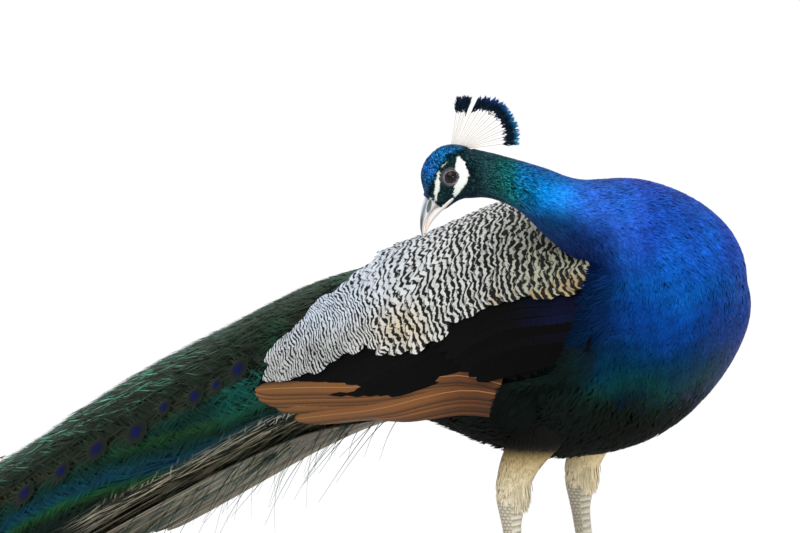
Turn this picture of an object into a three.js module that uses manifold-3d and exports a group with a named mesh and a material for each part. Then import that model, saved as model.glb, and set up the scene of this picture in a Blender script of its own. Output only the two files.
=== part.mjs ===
// A life-size adult male Indian peafowl, standing and looking back over its right shoulder.
// Millimetres, +Z up. The bird faces +X, its left side is +Y, and it stands on the plane Z = 0.
import * as THREE from "three";
import { mergeVertices } from "three/addons/utils/BufferGeometryUtils.js";
import Module from "manifold-3d";

const wasm = await Module();
wasm.setup();

// ---------------------------------------------------------------- driving sizes
const GAP = 0.4; // between neighbouring solids
const FAR = 2000; // beyond every part of the bird
const BODY_SIDES = 24;
const NECK_SIDES = 18;
const HEAD_SIDES = 14;
const LIMB_SIDES = 10;
const LEG_SPREAD = 55; // from the middle plane to each leg
const ANKLE_Z = 17; // height at which the shank meets the foot
const EYE_RADIUS = 8.4;
const EYE_OUT = 11; // eyeball's centre from the head's middle plane
const WING_REACH = 260; // prisms that cut the wings reach this far sideways
const SIDES = [["left", 1], ["right", -1]];

// Where the head is, and how it is turned: yaw from +X about +Z, then nose down.
const HEAD_AT = [205, -180, 478];
const HEAD_YAW_DEG = 218;
const HEAD_DOWN_DEG = 50;

// Trunk and train in upright sections, from the breast to the train's end: [x, top, bottom,
// half width, height of the widest line as a share, squareness below it, squareness above].
const BODY = [
  [417, 356, 344, 5, 0.5, 2, 2],
  [409.5, 384, 312, 43, 0.5, 2, 2],
  [391, 401, 279, 65, 0.5, 2, 2],
  [361, 413, 245, 86, 0.5, 2, 2],
  [320, 427, 213, 100, 0.48, 2, 2.1],
  [270, 436, 194, 106, 0.47, 2, 2.2],
  [220, 442, 187, 108, 0.46, 2, 2.4],
  [170, 434, 189, 107, 0.46, 2, 2.5],
  [120, 416, 199, 103, 0.46, 2.1, 2.5],
  [70, 396, 210, 97, 0.46, 2.2, 2.5],
  [20, 379, 214, 92, 0.46, 2.3, 2.5],
  [-40, 363, 205, 88, 0.46, 2.4, 2.4],
  [-110, 341, 186, 88, 0.44, 2.5, 2.2],
  [-200, 301, 141, 94, 0.42, 2.6, 2.1],
  [-310, 251, 86, 104, 0.4, 2.6, 2],
  [-400, 202, 41, 114, 0.38, 2.7, 2],
  [-460, 165, 16, 120, 0.36, 2.8, 2],
  [-520, 132, 3, 126, 0.35, 3, 2],
  [-580, 105, -3, 132, 0.34, 3, 2],
  [-640, 84, -8, 138, 0.33, 3.2, 2],
  [-740, 62, -8, 146, 0.33, 3.5, 2],
  [-880, 47, -8, 154, 0.34, 3.5, 2],
  [-1040, 37, -8, 158, 0.35, 3.5, 2],
  [-1170, 29, -8, 146, 0.36, 3.5, 2],
  [-1270, 22, -8, 116, 0.38, 3.5, 2],
  [-1340, 15, -8, 70, 0.4, 3.5, 2],
];
const BREAST_CUT_X = 262;
const TRAIN_CUTS_X = [-40, -430, -860]; // where the train starts, and its two joins

// Neck, from inside the breast to the head:
// [x, y, z, heading x, y, z, half depth in the bend's plane, half width across it].
const NECK = [
  [300, 8, 312, 0.05, -0.05, 1, 76, 78],
  [332, 2.4, 347, -0.12, -0.15, 0.97, 84, 86],
  [332, -10.4, 388, -0.27, -0.42, 0.87, 80, 83],
  [316, -53, 427, -0.44, -0.72, 0.55, 54, 56],
  [287, -101, 445.5, -0.46, -0.74, 0.5, 33.5, 35],
  [267, -131, 466, -0.52, -0.72, 0.46, 24.5, 25.5],
  [246, -151, 477, -0.68, -0.62, 0.39, 22, 21.5],
  [226, -167, 482, -0.77, -0.6, 0.2, 22.5, 19],
];
const NECK_ACROSS = [0.616, -0.788, 0]; // square to the plane that the neck bends in
const NECK_JOIN = 4; // station where the neck's two lengths meet

// Head in its own frame, +X to the bill and +Z to the crown, with the eyes at the origin:
// [x, top, bottom, half width].
const SKULL = [
  [-34, 0, -8, 4],
  [-32, 8, -16, 9],
  [-26, 18, -25, 14],
  [-17, 25.5, -30, 17],
  [-8, 28.2, -30.5, 17.8],
  [0, 28.8, -27.5, 17.4],
  [8, 27.6, -22.5, 16.4],
  [15, 24.6, -19, 15],
  [21, 19.6, -17.4, 12.9],
  [26, 13, -16, 11],
  [29, 8.5, -15, 9.8],
];
// Bill: [x, upper line, lower line, half width] of each mandible.
const BILL_UPPER = [
  [28.5, 7.8, -9.4, 8.4],
  [35, 6, -8.2, 7],
  [43, 2.7, -7.9, 5.4],
  [51, -2.3, -10.2, 4.2],
  [57.4, -7.6, -12.8, 2.9],
  [61.2, -12.2, -16, 1.7],
  [63, -16, -17.6, 0.7],
];
const BILL_LOWER = [
  [27, -10.2, -14.8, 7.4],
  [35, -8.9, -14.3, 6],
  [43, -8.6, -14.3, 4.6],
  [50, -10.9, -15, 3.4],
  [56, -13.5, -16.2, 2.1],
  [58.4, -15.3, -17, 1.2],
];

// Crest: a fan of bare shafts, each with a small blade at its tip.
const CREST_SHAFTS = 12;
const CREST_ROW = [[-26, 18.5], [-32.5, 8]]; // the shafts stand between these points
const CREST_FROM_DEG = 144; // direction of the foremost shaft, from the bill's line
const CREST_TO_DEG = 221;
const CREST_LENGTH = 51; // of the outermost shafts
const CREST_BULGE = 9; // by which the middle ones are longer
const CREST_BLADE = [15, 10, 1.6]; // length, width and thickness
const CREST_SHAFT_WIDTH = 0.9;
const CREST_SUNK = 7; // depth of the shafts' feet in the head's coat
const CREST_ROOT = [4, 3, 8]; // half sizes of the low mound that the shafts stand in

// Wing layers seen from the side, as [x, z] points round closed outlines.
const WING_COVERTS = [
  [324, 470], [330, 420], [320, 374], [290, 362], [245, 359], [195, 343], [144, 312],
  [112, 292], [80, 292], [50, 299], [-22, 270], [-89, 248], [-110, 253], [-104, 275],
  [-62, 312], [10, 371], [60, 470],
];
const WING_SECONDARIES = [
  [324, 384], [314, 330], [290, 290], [250, 272], [200, 270], [150, 262], [48, 245],
  [-57, 236], [-100, 234], [-117, 240], [-110, 252],
];
const WING_PRIMARIES = [
  [222, 271], [212, 252], [138, 227], [9, 206], [-37, 197], [-62, 196], [-72, 203],
  [-64, 212], [-92, 219], [-113, 222], [-116, 231], [-106, 238],
];
// How far each layer stands over the body, its thickness, and how near it comes to the
// bird's middle plane.
const WING_LAYERS = {
  coverts: { over: 15, thick: 14, from: 20 },
  secondaries: { over: 10, thick: 9, from: 62 },
  primaries: { over: 6, thick: 5, from: 66 },
};
const BACK_RISE = 11; // of the back's feathers between the wings
const BACK_FROM = [14, 330]; // their rear end's x, and a height inside the trunk
const WING_SLAB = 5; // squareness of the wings' section, which hangs flatter than the body

// Tail: [x, middle height, half width, half thickness].
const TAIL = [
  [10, 217, 44, 8],
  [-70, 200, 56, 7],
  [-160, 164, 64, 6],
  [-260, 114, 71, 5],
  [-345, 70, 75, 4],
];
const TAIL_SIDES = 10;
const TAIL_EDGES = [2.6, 2.2]; // squareness of its section, across and up
const TAIL_TIPS = 5;
const TAIL_TIP = { length: 46, overlap: 4, thickness: 1.2, splay: 0.15, inset: 12, round: 14 };

// Each leg, on the right side: [x, z, fore-and-aft half depth, half width].
const THIGH = [
  [240, 240, 30, 26],
  [222, 216, 26, 22],
  [206, 196, 22.5, 18.5],
  [195, 178, 20, 16],
  [188, 160, 18, 14.5],
  [186, 150, 17.4, 13.6],
];
const SHANK = [
  [186, 150, 17, 12.8],
  [186, 139, 16, 12],
  [186, 126, 12.6, 9.8],
  [187, 112, 10.2, 8],
  [191, 84, 8.8, 7.2],
  [197, 58, 8.4, 7.2],
  [203, 32, 9.4, 8.4],
  [205, ANKLE_Z, 10.6, 10],
];
const FAR_LEG_FORWARD = [6, 10]; // the left leg stands forward, and its foot more so
const FAR_LEG_LIFT = 8; // and its hock is higher

// Toes: [name, length, angle from straight ahead, root radius].
const TOES = [
  ["middle", 64, 4, 6.4],
  ["inner", 44, 34, 5.8],
  ["outer", 50, -30, 5.8],
  ["hind", 21, 168, 4.8],
];
const TOE_SIDES = 6;
const TOE_TAPER = 0.72; // tip's share of the root's radius
const TOE_SUNK = 0.82; // height of the toe's middle over the ground, in radii
const TOE_LIFT = 6; // by which the root stands higher
const TOE_STEPS = [0, 0.3, 0.65, 1];
const FOOT_BALL = [12.5, 11.5, 9]; // half sizes
const FOOT_SUNK = 1; // depth of the ball under the ground, where it is cut flat
const CLAW = { length: 14, radius: 3.3, height: 4.4, drop: 3, taper: 0.85 };
const CLAW_SIDES = 6;
const SPUR = { row: 5, length: 20, radius: 4.6, out: 4, riseDeg: 22, inwardDeg: 32 };

// Feather ends round the train's far edge.
const TRAIN_TIPS = 11;
const TRAIN_TIP = { length: 110, width: 44, thickness: 7 };
const TRAIN_TIP_ARC = 1.15; // radians to each side of the middle
const TRAIN_TIP_TURN = 0.4; // share of that arc by which a feather's end turns out
const TRAIN_END_ELLIPSE = [-1060, 262, 136]; // centre's x, length and half width

// ---------------------------------------------------------------- finishes
const finish = (colour, roughness, metalness = 0) =>
  new THREE.MeshStandardMaterial({ color: colour, roughness, metalness });
const BLUE = finish(0x1038b0, 0.4, 0.2);
const GREEN = finish(0x0e3b36, 0.45, 0.2);
const DARK = finish(0x0a1414, 0.5);
const BARRED = finish(0xb9b4a6, 0.7);
const INDIGO = finish(0x0b1026, 0.45, 0.1);
const RUFOUS = finish(0x9c5a2c, 0.6);
const TRAIN = finish(0x1f4a3a, 0.5, 0.2);
const BROWN = finish(0x6d665a, 0.7);
const BUFF = finish(0xb49a6c, 0.8);
const SCALY = finish(0xb9b6ae, 0.6);
const HORN = finish(0x8e8a86, 0.4);
const EYE = finish(0x1a0e0a, 0.1);

// ---------------------------------------------------------------- solids
/** A closed geometry as a manifold solid. */
function solid(geometry) {
  const bare = geometry.index ? geometry.toNonIndexed() : geometry.clone();
  for (const name of Object.keys(bare.attributes)) {
    if (name !== "position") bare.deleteAttribute(name);
  }
  const merged = mergeVertices(bare, 1e-3);
  return new wasm.Manifold(
    new wasm.Mesh({
      numProp: 3,
      vertProperties: merged.attributes.position.array,
      triVerts: new Uint32Array(merged.index.array),
    }),
  );
}

/** A named mesh of a manifold solid. */
function piece(name, made, material) {
  const out = made.getMesh();
  const geometry = new THREE.BufferGeometry();
  geometry.setAttribute(
    "position",
    new THREE.BufferAttribute(new Float32Array(out.vertProperties), 3),
  );
  geometry.setIndex(new THREE.BufferAttribute(new Uint32Array(out.triVerts), 1));
  geometry.computeVertexNormals();
  const mesh = new THREE.Mesh(geometry, material);
  mesh.name = name;
  return mesh;
}

/** The solid's largest body, without the crumbs that a cut may leave. */
function mainBody(made) {
  return made.decompose().sort((a, b) => b.volume() - a.volume())[0];
}

/** A smooth row between a table's rows. t runs from 0 to the last row's index. */
function between(rows, t) {
  const i = Math.min(Math.floor(t), rows.length - 2);
  const f = t - i;
  const row = (k) => rows[Math.max(0, Math.min(rows.length - 1, k))];
  return rows[i].map((_, c) => {
    const [a, b, d, e] = [row(i - 1)[c], row(i)[c], row(i + 1)[c], row(i + 2)[c]];
    const bend = 2 * a - 5 * b + 4 * d - e;
    const twist = 3 * b - a - 3 * d + e;
    return 0.5 * (2 * b + (d - a) * f + bend * f * f + twist * f * f * f);
  });
}

/** All rows of a table, with steps smooth rows for each one given. */
function refined(rows, steps) {
  const count = (rows.length - 1) * steps;
  return Array.from({ length: count + 1 }, (_, k) => between(rows, k / steps));
}

/** A closed skin over rings of points, with a pole in the middle of each end. */
function skin(rings) {
  const sides = rings[0].length;
  const middle = (ring) =>
    ring
      .reduce((sum, p) => sum.add(p), new THREE.Vector3())
      .divideScalar(sides);
  const points = [...rings.flat(), middle(rings[0]), middle(rings.at(-1))];
  const first = rings.length * sides;
  const index = [];
  for (let k = 0; k < sides; k++) {
    const n = (k + 1) % sides;
    for (let r = 0; r + 1 < rings.length; r++) {
      const [a, b] = [r * sides + k, r * sides + n];
      index.push(a, b, a + sides, b, b + sides, a + sides);
    }
    const last = (rings.length - 1) * sides;
    index.push(first, n, k, first + 1, last + k, last + n);
  }
  const geometry = new THREE.BufferGeometry().setFromPoints(points);
  geometry.setIndex(index);
  const made = solid(geometry);
  if (made.volume() > 0) return made;
  const turned = index.map((_, i) => index[i - (i % 3) + (2 - (i % 3))]);
  geometry.setIndex(turned);
  return solid(geometry);
}

/** Share of a superellipse's radius: a cosine or sine, made squarer by power. */
const squared = (value, power) => Math.sign(value) * Math.abs(value) ** (2 / power);

/** Trunk and train as one solid, grown by grow all round, and flat-sided if slab is set. */
function bodySolid(grow = 0, slab = 0) {
  const rings = BODY.map(([x, top, bottom, half, widest, below, above], i) => {
    const level = bottom + (top - bottom) * widest;
    const out = i === 0 ? grow : 0;
    return Array.from({ length: BODY_SIDES }, (_, k) => {
      const angle = (2 * Math.PI * k) / BODY_SIDES;
      const low = Math.sin(angle) < 0;
      const power = low ? Math.max(below, slab) : above;
      const reach = (low ? level - bottom : top - level) + grow;
      return new THREE.Vector3(
        x + out,
        (half + grow) * squared(Math.cos(angle), power),
        level + reach * squared(Math.sin(angle), power),
      );
    });
  });
  return skin(rings);
}

/** A tube through stations [x, y, z, heading xyz, half depth, half width]. */
function tube(stations, across, sides, steps, grow = 0) {
  const side = new THREE.Vector3(...across);
  const rings = refined(stations, steps).map((row) => {
    const [x, y, z, hx, hy, hz, depth, width] = row;
    const heading = new THREE.Vector3(hx, hy, hz).normalize();
    const wide = side.clone().addScaledVector(heading, -side.dot(heading)).normalize();
    const deep = heading.clone().cross(wide);
    return Array.from({ length: sides }, (_, k) => {
      const angle = (2 * Math.PI * k) / sides;
      return new THREE.Vector3(x, y, z)
        .addScaledVector(deep, (depth + grow) * Math.cos(angle))
        .addScaledVector(wide, (width + grow) * Math.sin(angle));
    });
  });
  return skin(rings);
}

/** Sections across +X in the head's frame, from rows [x, top, bottom, half width]. */
function headLoft(rows, sides, grow = 0) {
  const rings = rows.map(([x, top, bottom, half], i, all) => {
    const level = (top + bottom) / 2;
    const end = i === 0 ? -grow : i === all.length - 1 ? grow : 0;
    return Array.from({ length: sides }, (_, k) => {
      const angle = (2 * Math.PI * k) / sides;
      return new THREE.Vector3(
        x + end,
        (half + grow) * Math.cos(angle),
        level + ((top - bottom) / 2 + grow) * Math.sin(angle),
      );
    });
  });
  return skin(rings);
}

/** A prism of an [x, z] outline, reaching sideways from inner to outer. */
function sidePrism(points, inner, outer) {
  const flat = points.map(([x, z]) => new THREE.Vector2(x, z));
  const shape = new THREE.Shape();
  shape.moveTo(flat[0].x, flat[0].y);
  shape.splineThru(flat.slice(1));
  const geometry = new THREE.ExtrudeGeometry(shape, {
    depth: Math.abs(outer - inner),
    bevelEnabled: false,
    curveSegments: 2,
    steps: 1,
  });
  geometry.rotateX(Math.PI / 2);
  geometry.translate(0, Math.max(inner, outer), 0);
  return solid(geometry);
}

/** A box between two corners. */
function box(low, high) {
  const size = high.map((v, i) => v - low[i]);
  const geometry = new THREE.BoxGeometry(...size);
  geometry.translate(...low.map((v, i) => v + size[i] / 2));
  return solid(geometry);
}

/** Several solids as one. */
const join = (solids) => solids.reduce((a, b) => a.add(b));

/** What lies between two planes square to an axis, which is 0 for X, 1 for Y and 2 for Z. */
const slice = (made, axis, from, to) => {
  const normal = [0, 1, 2].map((i) => (i === axis ? 1 : 0));
  const back = normal.map((v) => -v);
  return made.trimByPlane(normal, from).trimByPlane(back, -to);
};

// ---------------------------------------------------------------- head
const headFrame = new THREE.Matrix4().makeRotationFromEuler(
  new THREE.Euler(
    0,
    THREE.MathUtils.degToRad(HEAD_DOWN_DEG),
    THREE.MathUtils.degToRad(HEAD_YAW_DEG),
    "ZYX",
  ),
);
headFrame.setPosition(...HEAD_AT);
const placed = (made) => made.transform(headFrame.elements);

/** A ball about a point. */
function ball(radius, at) {
  const geometry = new THREE.SphereGeometry(radius, 10, 7);
  geometry.translate(...at);
  return solid(geometry);
}

/** Skull with its sockets, and the eyes set in them. */
function headParts() {
  const skull = headLoft(SKULL, HEAD_SIDES);
  const sockets = SIDES.map(([, s]) => ball(EYE_RADIUS + GAP, [0, s * EYE_OUT, 0]));
  const parts = [["head", placed(skull.subtract(join(sockets))), GREEN]];
  for (const [name, s] of SIDES) {
    parts.push([`eye_${name}`, placed(ball(EYE_RADIUS, [0, s * EYE_OUT, 0])), EYE]);
  }
  return parts;
}

/** The two mandibles, cut back from the skull. */
function billParts() {
  const skull = headLoft(SKULL, HEAD_SIDES, GAP);
  const lengthened = (rows) => [[rows[0][0] - 6, ...rows[0].slice(1)], ...rows];
  const upper = headLoft(lengthened(BILL_UPPER), 12).subtract(skull);
  const lower = headLoft(lengthened(BILL_LOWER), 10).subtract(skull);
  return [
    ["bill_upper", placed(mainBody(upper)), HORN],
    ["bill_lower", placed(mainBody(lower)), HORN],
  ];
}

/** The crest's fan: a low root with shafts that end in blades. */
function crestPart() {
  const [front, back] = CREST_ROW.map(([x, z]) => new THREE.Vector3(x, 0, z));
  const [bladeLength, bladeWidth, bladeThick] = CREST_BLADE;
  const parts = [];
  for (let i = 0; i < CREST_SHAFTS; i++) {
    const share = i / (CREST_SHAFTS - 1);
    const degrees = CREST_FROM_DEG + share * (CREST_TO_DEG - CREST_FROM_DEG);
    const foot = front.clone().lerp(back, share);
    const length = CREST_LENGTH + CREST_BULGE * Math.sin(share * Math.PI);
    const shaft = new THREE.BoxGeometry(length, CREST_SHAFT_WIDTH, CREST_SHAFT_WIDTH);
    shaft.translate(length / 2 - CREST_SUNK, 0, 0);
    const blade = new THREE.OctahedronGeometry(0.5);
    blade.scale(bladeLength, bladeThick, bladeWidth);
    blade.translate(length - bladeLength / 2, 0, 0);
    for (const shape of [shaft, blade]) {
      shape.rotateY(-THREE.MathUtils.degToRad(degrees));
      shape.translate(...foot);
      parts.push(solid(shape));
    }
  }
  const root = new THREE.SphereGeometry(1, 8, 6);
  root.scale(...CREST_ROOT);
  root.rotateY(Math.atan2(front.x - back.x, front.z - back.z));
  root.translate(...front.clone().lerp(back, 0.5));
  const skull = headLoft(SKULL, HEAD_SIDES, GAP);
  const made = join([...parts, solid(root)]).subtract(skull);
  return ["crest", placed(mainBody(made)), INDIGO];
}

// ---------------------------------------------------------------- neck, trunk and train
/** The neck, in two lengths that meet at one of its stations. */
function neckParts() {
  const breast = bodySolid(GAP);
  const skull = placed(headLoft(SKULL, HEAD_SIDES, GAP));
  const neck = tube(NECK, NECK_ACROSS, NECK_SIDES, 2);
  const [x, y, z, ...heading] = NECK[NECK_JOIN].slice(0, 6);
  const normal = new THREE.Vector3(...heading).normalize();
  const at = normal.dot(new THREE.Vector3(x, y, z));
  const back = normal.clone().negate();
  const lower = neck.trimByPlane(back.toArray(), -at + GAP / 2).subtract(breast);
  const upper = neck.trimByPlane(normal.toArray(), at + GAP / 2).subtract(skull);
  return [
    ["neck_lower", mainBody(lower), BLUE],
    ["neck_upper", mainBody(upper), BLUE],
  ];
}

/** Breast and trunk. The back's feathers fill the space between the wings. */
function trunkParts() {
  const body = bodySolid();
  const [start] = TRAIN_CUTS_X;
  const edge = WING_LAYERS.coverts.from - GAP;
  const strip = box([BACK_FROM[0], -edge, BACK_FROM[1]], [FAR, edge, FAR]);
  const neck = tube(NECK, NECK_ACROSS, NECK_SIDES, 2, GAP);
  const back = bodySolid(BACK_RISE).intersect(strip).subtract(neck);
  const trunk = slice(body.add(back), 0, start, BREAST_CUT_X);
  return [
    ["breast", slice(body, 0, BREAST_CUT_X + GAP, FAR), GREEN],
    ["trunk", mainBody(trunk), DARK],
  ];
}

/** Feather ends that stand out round the train's far edge, which is half an ellipse. */
function trainTips() {
  const { length, width, thickness } = TRAIN_TIP;
  const [centre, long, wide] = TRAIN_END_ELLIPSE;
  return Array.from({ length: TRAIN_TIPS }, (_, i) => {
    const share = (2 * i) / (TRAIN_TIPS - 1) - 1;
    const angle = share * TRAIN_TIP_ARC;
    const geometry = new THREE.CylinderGeometry(1, 1, thickness, 8);
    geometry.rotateX(Math.PI / 2);
    geometry.scale(length / 2, width / 2, 1);
    geometry.translate(0, 0, thickness / 2);
    geometry.rotateZ(-angle * TRAIN_TIP_TURN);
    geometry.translate(centre - long * Math.cos(angle), wide * Math.sin(angle), 0);
    return solid(geometry);
  });
}

/** The train in three lengths, cut off flat where it lies on the ground. */
function trainParts() {
  const standing = slice(bodySolid(), 2, 0, FAR);
  const [start, second, third] = TRAIN_CUTS_X;
  const end = slice(standing, 0, -FAR, third - GAP).add(
    slice(join(trainTips()), 0, -FAR, third - GAP),
  );
  return [
    ["train_base", slice(standing, 0, second, start - GAP), TRAIN],
    ["train_middle", slice(standing, 0, third, second - GAP), TRAIN],
    ["train_end", end, TRAIN],
  ];
}

/** The stiff tail under the train: a flat wedge that ends in rounded feather tips. */
function tailPart() {
  const [across, up] = TAIL_EDGES;
  const rings = refined(TAIL, 2).map(([x, z, half, thick]) =>
    Array.from({ length: TAIL_SIDES }, (_, k) => {
      const angle = (2 * Math.PI * k) / TAIL_SIDES;
      return new THREE.Vector3(
        x,
        half * squared(Math.cos(angle), across),
        z + thick * squared(Math.sin(angle), up),
      );
    }),
  );
  const [x, z, half, thick] = TAIL.at(-1);
  const slope = Math.atan2(TAIL.at(-2)[1] - z, TAIL.at(-2)[0] - x);
  const tips = Array.from({ length: TAIL_TIPS }, (_, i) => {
    const share = (2 * i) / (TAIL_TIPS - 1) - 1;
    const geometry = new THREE.CylinderGeometry(1, 1, thick * TAIL_TIP.thickness, 8);
    geometry.rotateX(Math.PI / 2);
    geometry.scale(TAIL_TIP.length, half / TAIL_TIPS + TAIL_TIP.overlap, 1);
    geometry.rotateZ(-share * TAIL_TIP.splay);
    geometry.rotateY(-slope);
    geometry.translate(x + TAIL_TIP.round * share ** 2, share * (half - TAIL_TIP.inset), z);
    return solid(geometry);
  });
  const clear = bodySolid(GAP);
  return ["tail", mainBody(skin(rings).add(join(tips)).subtract(clear)), BROWN];
}

// ---------------------------------------------------------------- wings
/** The wings' layers: panels along the body's sides, cut to each layer's outline. */
function wingParts() {
  const clear = bodySolid(GAP).add(tube(NECK, NECK_ACROSS, NECK_SIDES, 2, GAP));
  const layers = [
    ["coverts", WING_COVERTS, BARRED],
    ["secondaries", WING_SECONDARIES, INDIGO],
    ["primaries", WING_PRIMARIES, RUFOUS],
  ];
  const parts = [];
  for (const [side, s] of SIDES) {
    let taken = clear;
    for (const [name, outline, material] of layers) {
      const { over, thick, from } = WING_LAYERS[name];
      const outer = bodySolid(over, WING_SLAB);
      const inner = bodySolid(over - thick, WING_SLAB);
      const prism = sidePrism(outline, s * from, s * WING_REACH);
      const made = outer.subtract(inner).intersect(prism).subtract(taken);
      parts.push([`wing_${side}_${name}`, mainBody(made), material]);
      const lowered = outline.map(([x, z]) => [x, z - GAP]);
      taken = taken.add(sidePrism(lowered, s, s * WING_REACH));
    }
  }
  return parts;
}

// ---------------------------------------------------------------- legs
/** How far a height on a leg moves forward and up. The right leg (s = -1) stays put. */
function legMove(s, z) {
  if (s < 0) return [0, 0];
  const hock = THIGH.at(-1)[1];
  const [leg, foot] = FAR_LEG_FORWARD;
  const down = Math.min(1, Math.max(0, (hock - z) / hock));
  return [leg + foot * down ** 2, FAR_LEG_LIFT * Math.min(1, z / hock)];
}

/** A leg's table of [x, z, depth, width] as tube stations on one side. */
function limb(rows, s) {
  return rows.map(([x, z, depth, width], i) => {
    const [ax, az] = rows[Math.max(0, i - 1)];
    const [bx, bz] = rows[Math.min(rows.length - 1, i + 1)];
    const [dx, dz] = legMove(s, z);
    return [x + dx, s * LEG_SPREAD, z + dz, bx - ax, 0, bz - az, depth, width];
  });
}

/** A toe: a tapering tube that comes down from the foot's ball. */
function toe(length, radius) {
  const rows = TOE_STEPS.map((t) => {
    const thick = radius * (1 - (1 - TOE_TAPER) * t);
    const height = thick * TOE_SUNK + TOE_LIFT * (1 - t) ** 3;
    const slope = (-3 * TOE_LIFT * (1 - t) ** 2) / length;
    return [t * length, 0, height, 1, 0, slope, thick, thick];
  });
  return tube(rows, [0, 1, 0], TOE_SIDES, 1);
}

/** A claw: a curved cone that comes down almost to the ground. */
function claw() {
  const { length, radius, height, drop, taper } = CLAW;
  const rows = [0, 0.5, 1].map((t) => {
    const thick = radius * (1 - taper * t);
    const slope = (-2 * drop * t) / length;
    return [t * length, 0, height - drop * t * t, 1, 0, slope, thick, thick * taper];
  });
  return tube(rows, [0, 1, 0], CLAW_SIDES, 1);
}

/** Foot and claws, in one leg's place. */
function footParts(side, s) {
  const [ankleX] = SHANK.at(-1);
  const x = ankleX + legMove(s, 0)[0];
  const y = s * LEG_SPREAD;
  const ball = new THREE.SphereGeometry(1, 8, 6);
  ball.scale(...FOOT_BALL);
  ball.translate(x, y, FOOT_BALL[2] - FOOT_SUNK);
  const solids = [solid(ball)];
  const parts = [];
  for (const [name, length, degrees, radius] of TOES) {
    const turn = new THREE.Matrix4()
      .makeRotationZ(THREE.MathUtils.degToRad(-s * degrees))
      .setPosition(x, y, 0);
    solids.push(toe(length, radius).transform(turn.elements));
    const tip = new THREE.Matrix4().makeTranslation(length + GAP, 0, 0);
    const nail = claw().transform(turn.multiply(tip).elements);
    parts.push([`claw_${side}_${name}`, slice(nail, 2, 0, ANKLE_Z), HORN]);
  }
  const foot = slice(join(solids), 2, 0, ANKLE_Z - GAP);
  return [[`foot_${side}`, foot, SCALY], ...parts];
}

/** The spur, on the inner side at the back of the shank. */
function spurPart(side, s) {
  const { row, length, radius, out, riseDeg, inwardDeg } = SPUR;
  const [x, z] = SHANK[row];
  const cone = new THREE.ConeGeometry(radius, length, 10);
  cone.translate(0, length / 2 + out, 0);
  cone.rotateZ(THREE.MathUtils.degToRad(90 - riseDeg));
  cone.rotateX(Math.PI / 2);
  cone.rotateZ(THREE.MathUtils.degToRad(s * inwardDeg));
  cone.translate(x + legMove(s, z)[0], s * LEG_SPREAD, z);
  const shank = tube(limb(SHANK, s), [0, 1, 0], LIMB_SIDES, 1, GAP);
  return [`spur_${side}`, mainBody(solid(cone).subtract(shank)), HORN];
}

/** Both legs, each a feathered thigh, a bare shank, a spur and a foot with its claws. */
function legParts() {
  const across = [0, 1, 0];
  const clear = bodySolid(GAP);
  const parts = [];
  for (const [side, s] of SIDES) {
    const [, hock] = THIGH.at(-1);
    const knee = hock + legMove(s, hock)[1];
    const thigh = tube(limb(THIGH, s), across, LIMB_SIDES + 2, 1);
    const shank = tube(limb(SHANK, s), across, LIMB_SIDES, 1);
    const above = slice(thigh, 2, knee + GAP, FAR).subtract(clear);
    parts.push([`thigh_${side}`, mainBody(above), BUFF]);
    parts.push([`shank_${side}`, mainBody(slice(shank, 2, ANKLE_Z, knee)), SCALY]);
    parts.push(spurPart(side, s), ...footParts(side, s));
  }
  return parts;
}

// ---------------------------------------------------------------- the whole bird
const bird = new THREE.Group();
const parts = [
  ...headParts(),
  ...billParts(),
  crestPart(),
  ...neckParts(),
  ...trunkParts(),
  ...trainParts(),
  tailPart(),
  ...wingParts(),
  ...legParts(),
];
for (const [name, made, material] of parts) bird.add(piece(name, made, material));

// The origin is on the ground, under the middle of the bird's box.
const whole = new THREE.Box3().setFromObject(bird);
const middle = whole.getCenter(new THREE.Vector3());
bird.position.set(-middle.x, -middle.y, -whole.min.z);

export default bird;
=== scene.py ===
"""A life-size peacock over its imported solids: skin, plumage, face, bill, crest, train and legs.

Sizes are millimetres in the bird's own frame, +X forward, +Y its left and +Z up. They become
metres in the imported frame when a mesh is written.
"""

import logging
from collections.abc import Callable
from dataclasses import dataclass, field
from enum import Enum
from functools import cache

import bmesh
import bpy
import numpy as np
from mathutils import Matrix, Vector


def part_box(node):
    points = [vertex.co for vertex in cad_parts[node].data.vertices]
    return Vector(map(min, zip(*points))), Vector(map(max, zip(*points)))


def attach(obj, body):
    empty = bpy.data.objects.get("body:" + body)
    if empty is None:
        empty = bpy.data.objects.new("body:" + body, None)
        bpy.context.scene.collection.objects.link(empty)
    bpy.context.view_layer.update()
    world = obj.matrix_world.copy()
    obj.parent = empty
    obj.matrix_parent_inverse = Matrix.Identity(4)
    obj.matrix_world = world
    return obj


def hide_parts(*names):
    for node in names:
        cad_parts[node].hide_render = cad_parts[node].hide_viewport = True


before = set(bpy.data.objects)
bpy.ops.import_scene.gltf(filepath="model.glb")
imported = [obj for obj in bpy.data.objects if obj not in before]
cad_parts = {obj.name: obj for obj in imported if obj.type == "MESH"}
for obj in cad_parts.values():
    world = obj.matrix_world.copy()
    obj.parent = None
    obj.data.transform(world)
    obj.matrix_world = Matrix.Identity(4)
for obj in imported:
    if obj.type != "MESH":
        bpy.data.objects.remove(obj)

LOG = logging.getLogger("peacock")
Array = np.ndarray
Rng = np.random.Generator
Tinter = Callable[[Array, Array, Array], Array]  # colours from points, t and chance
Outline = list[tuple[float, float]]
MM = 0.001
SIDES = {"left": 1.0, "right": -1.0}
BAKE_PATCH = 0.003  # size of each feather's patch on the bake map

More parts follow.
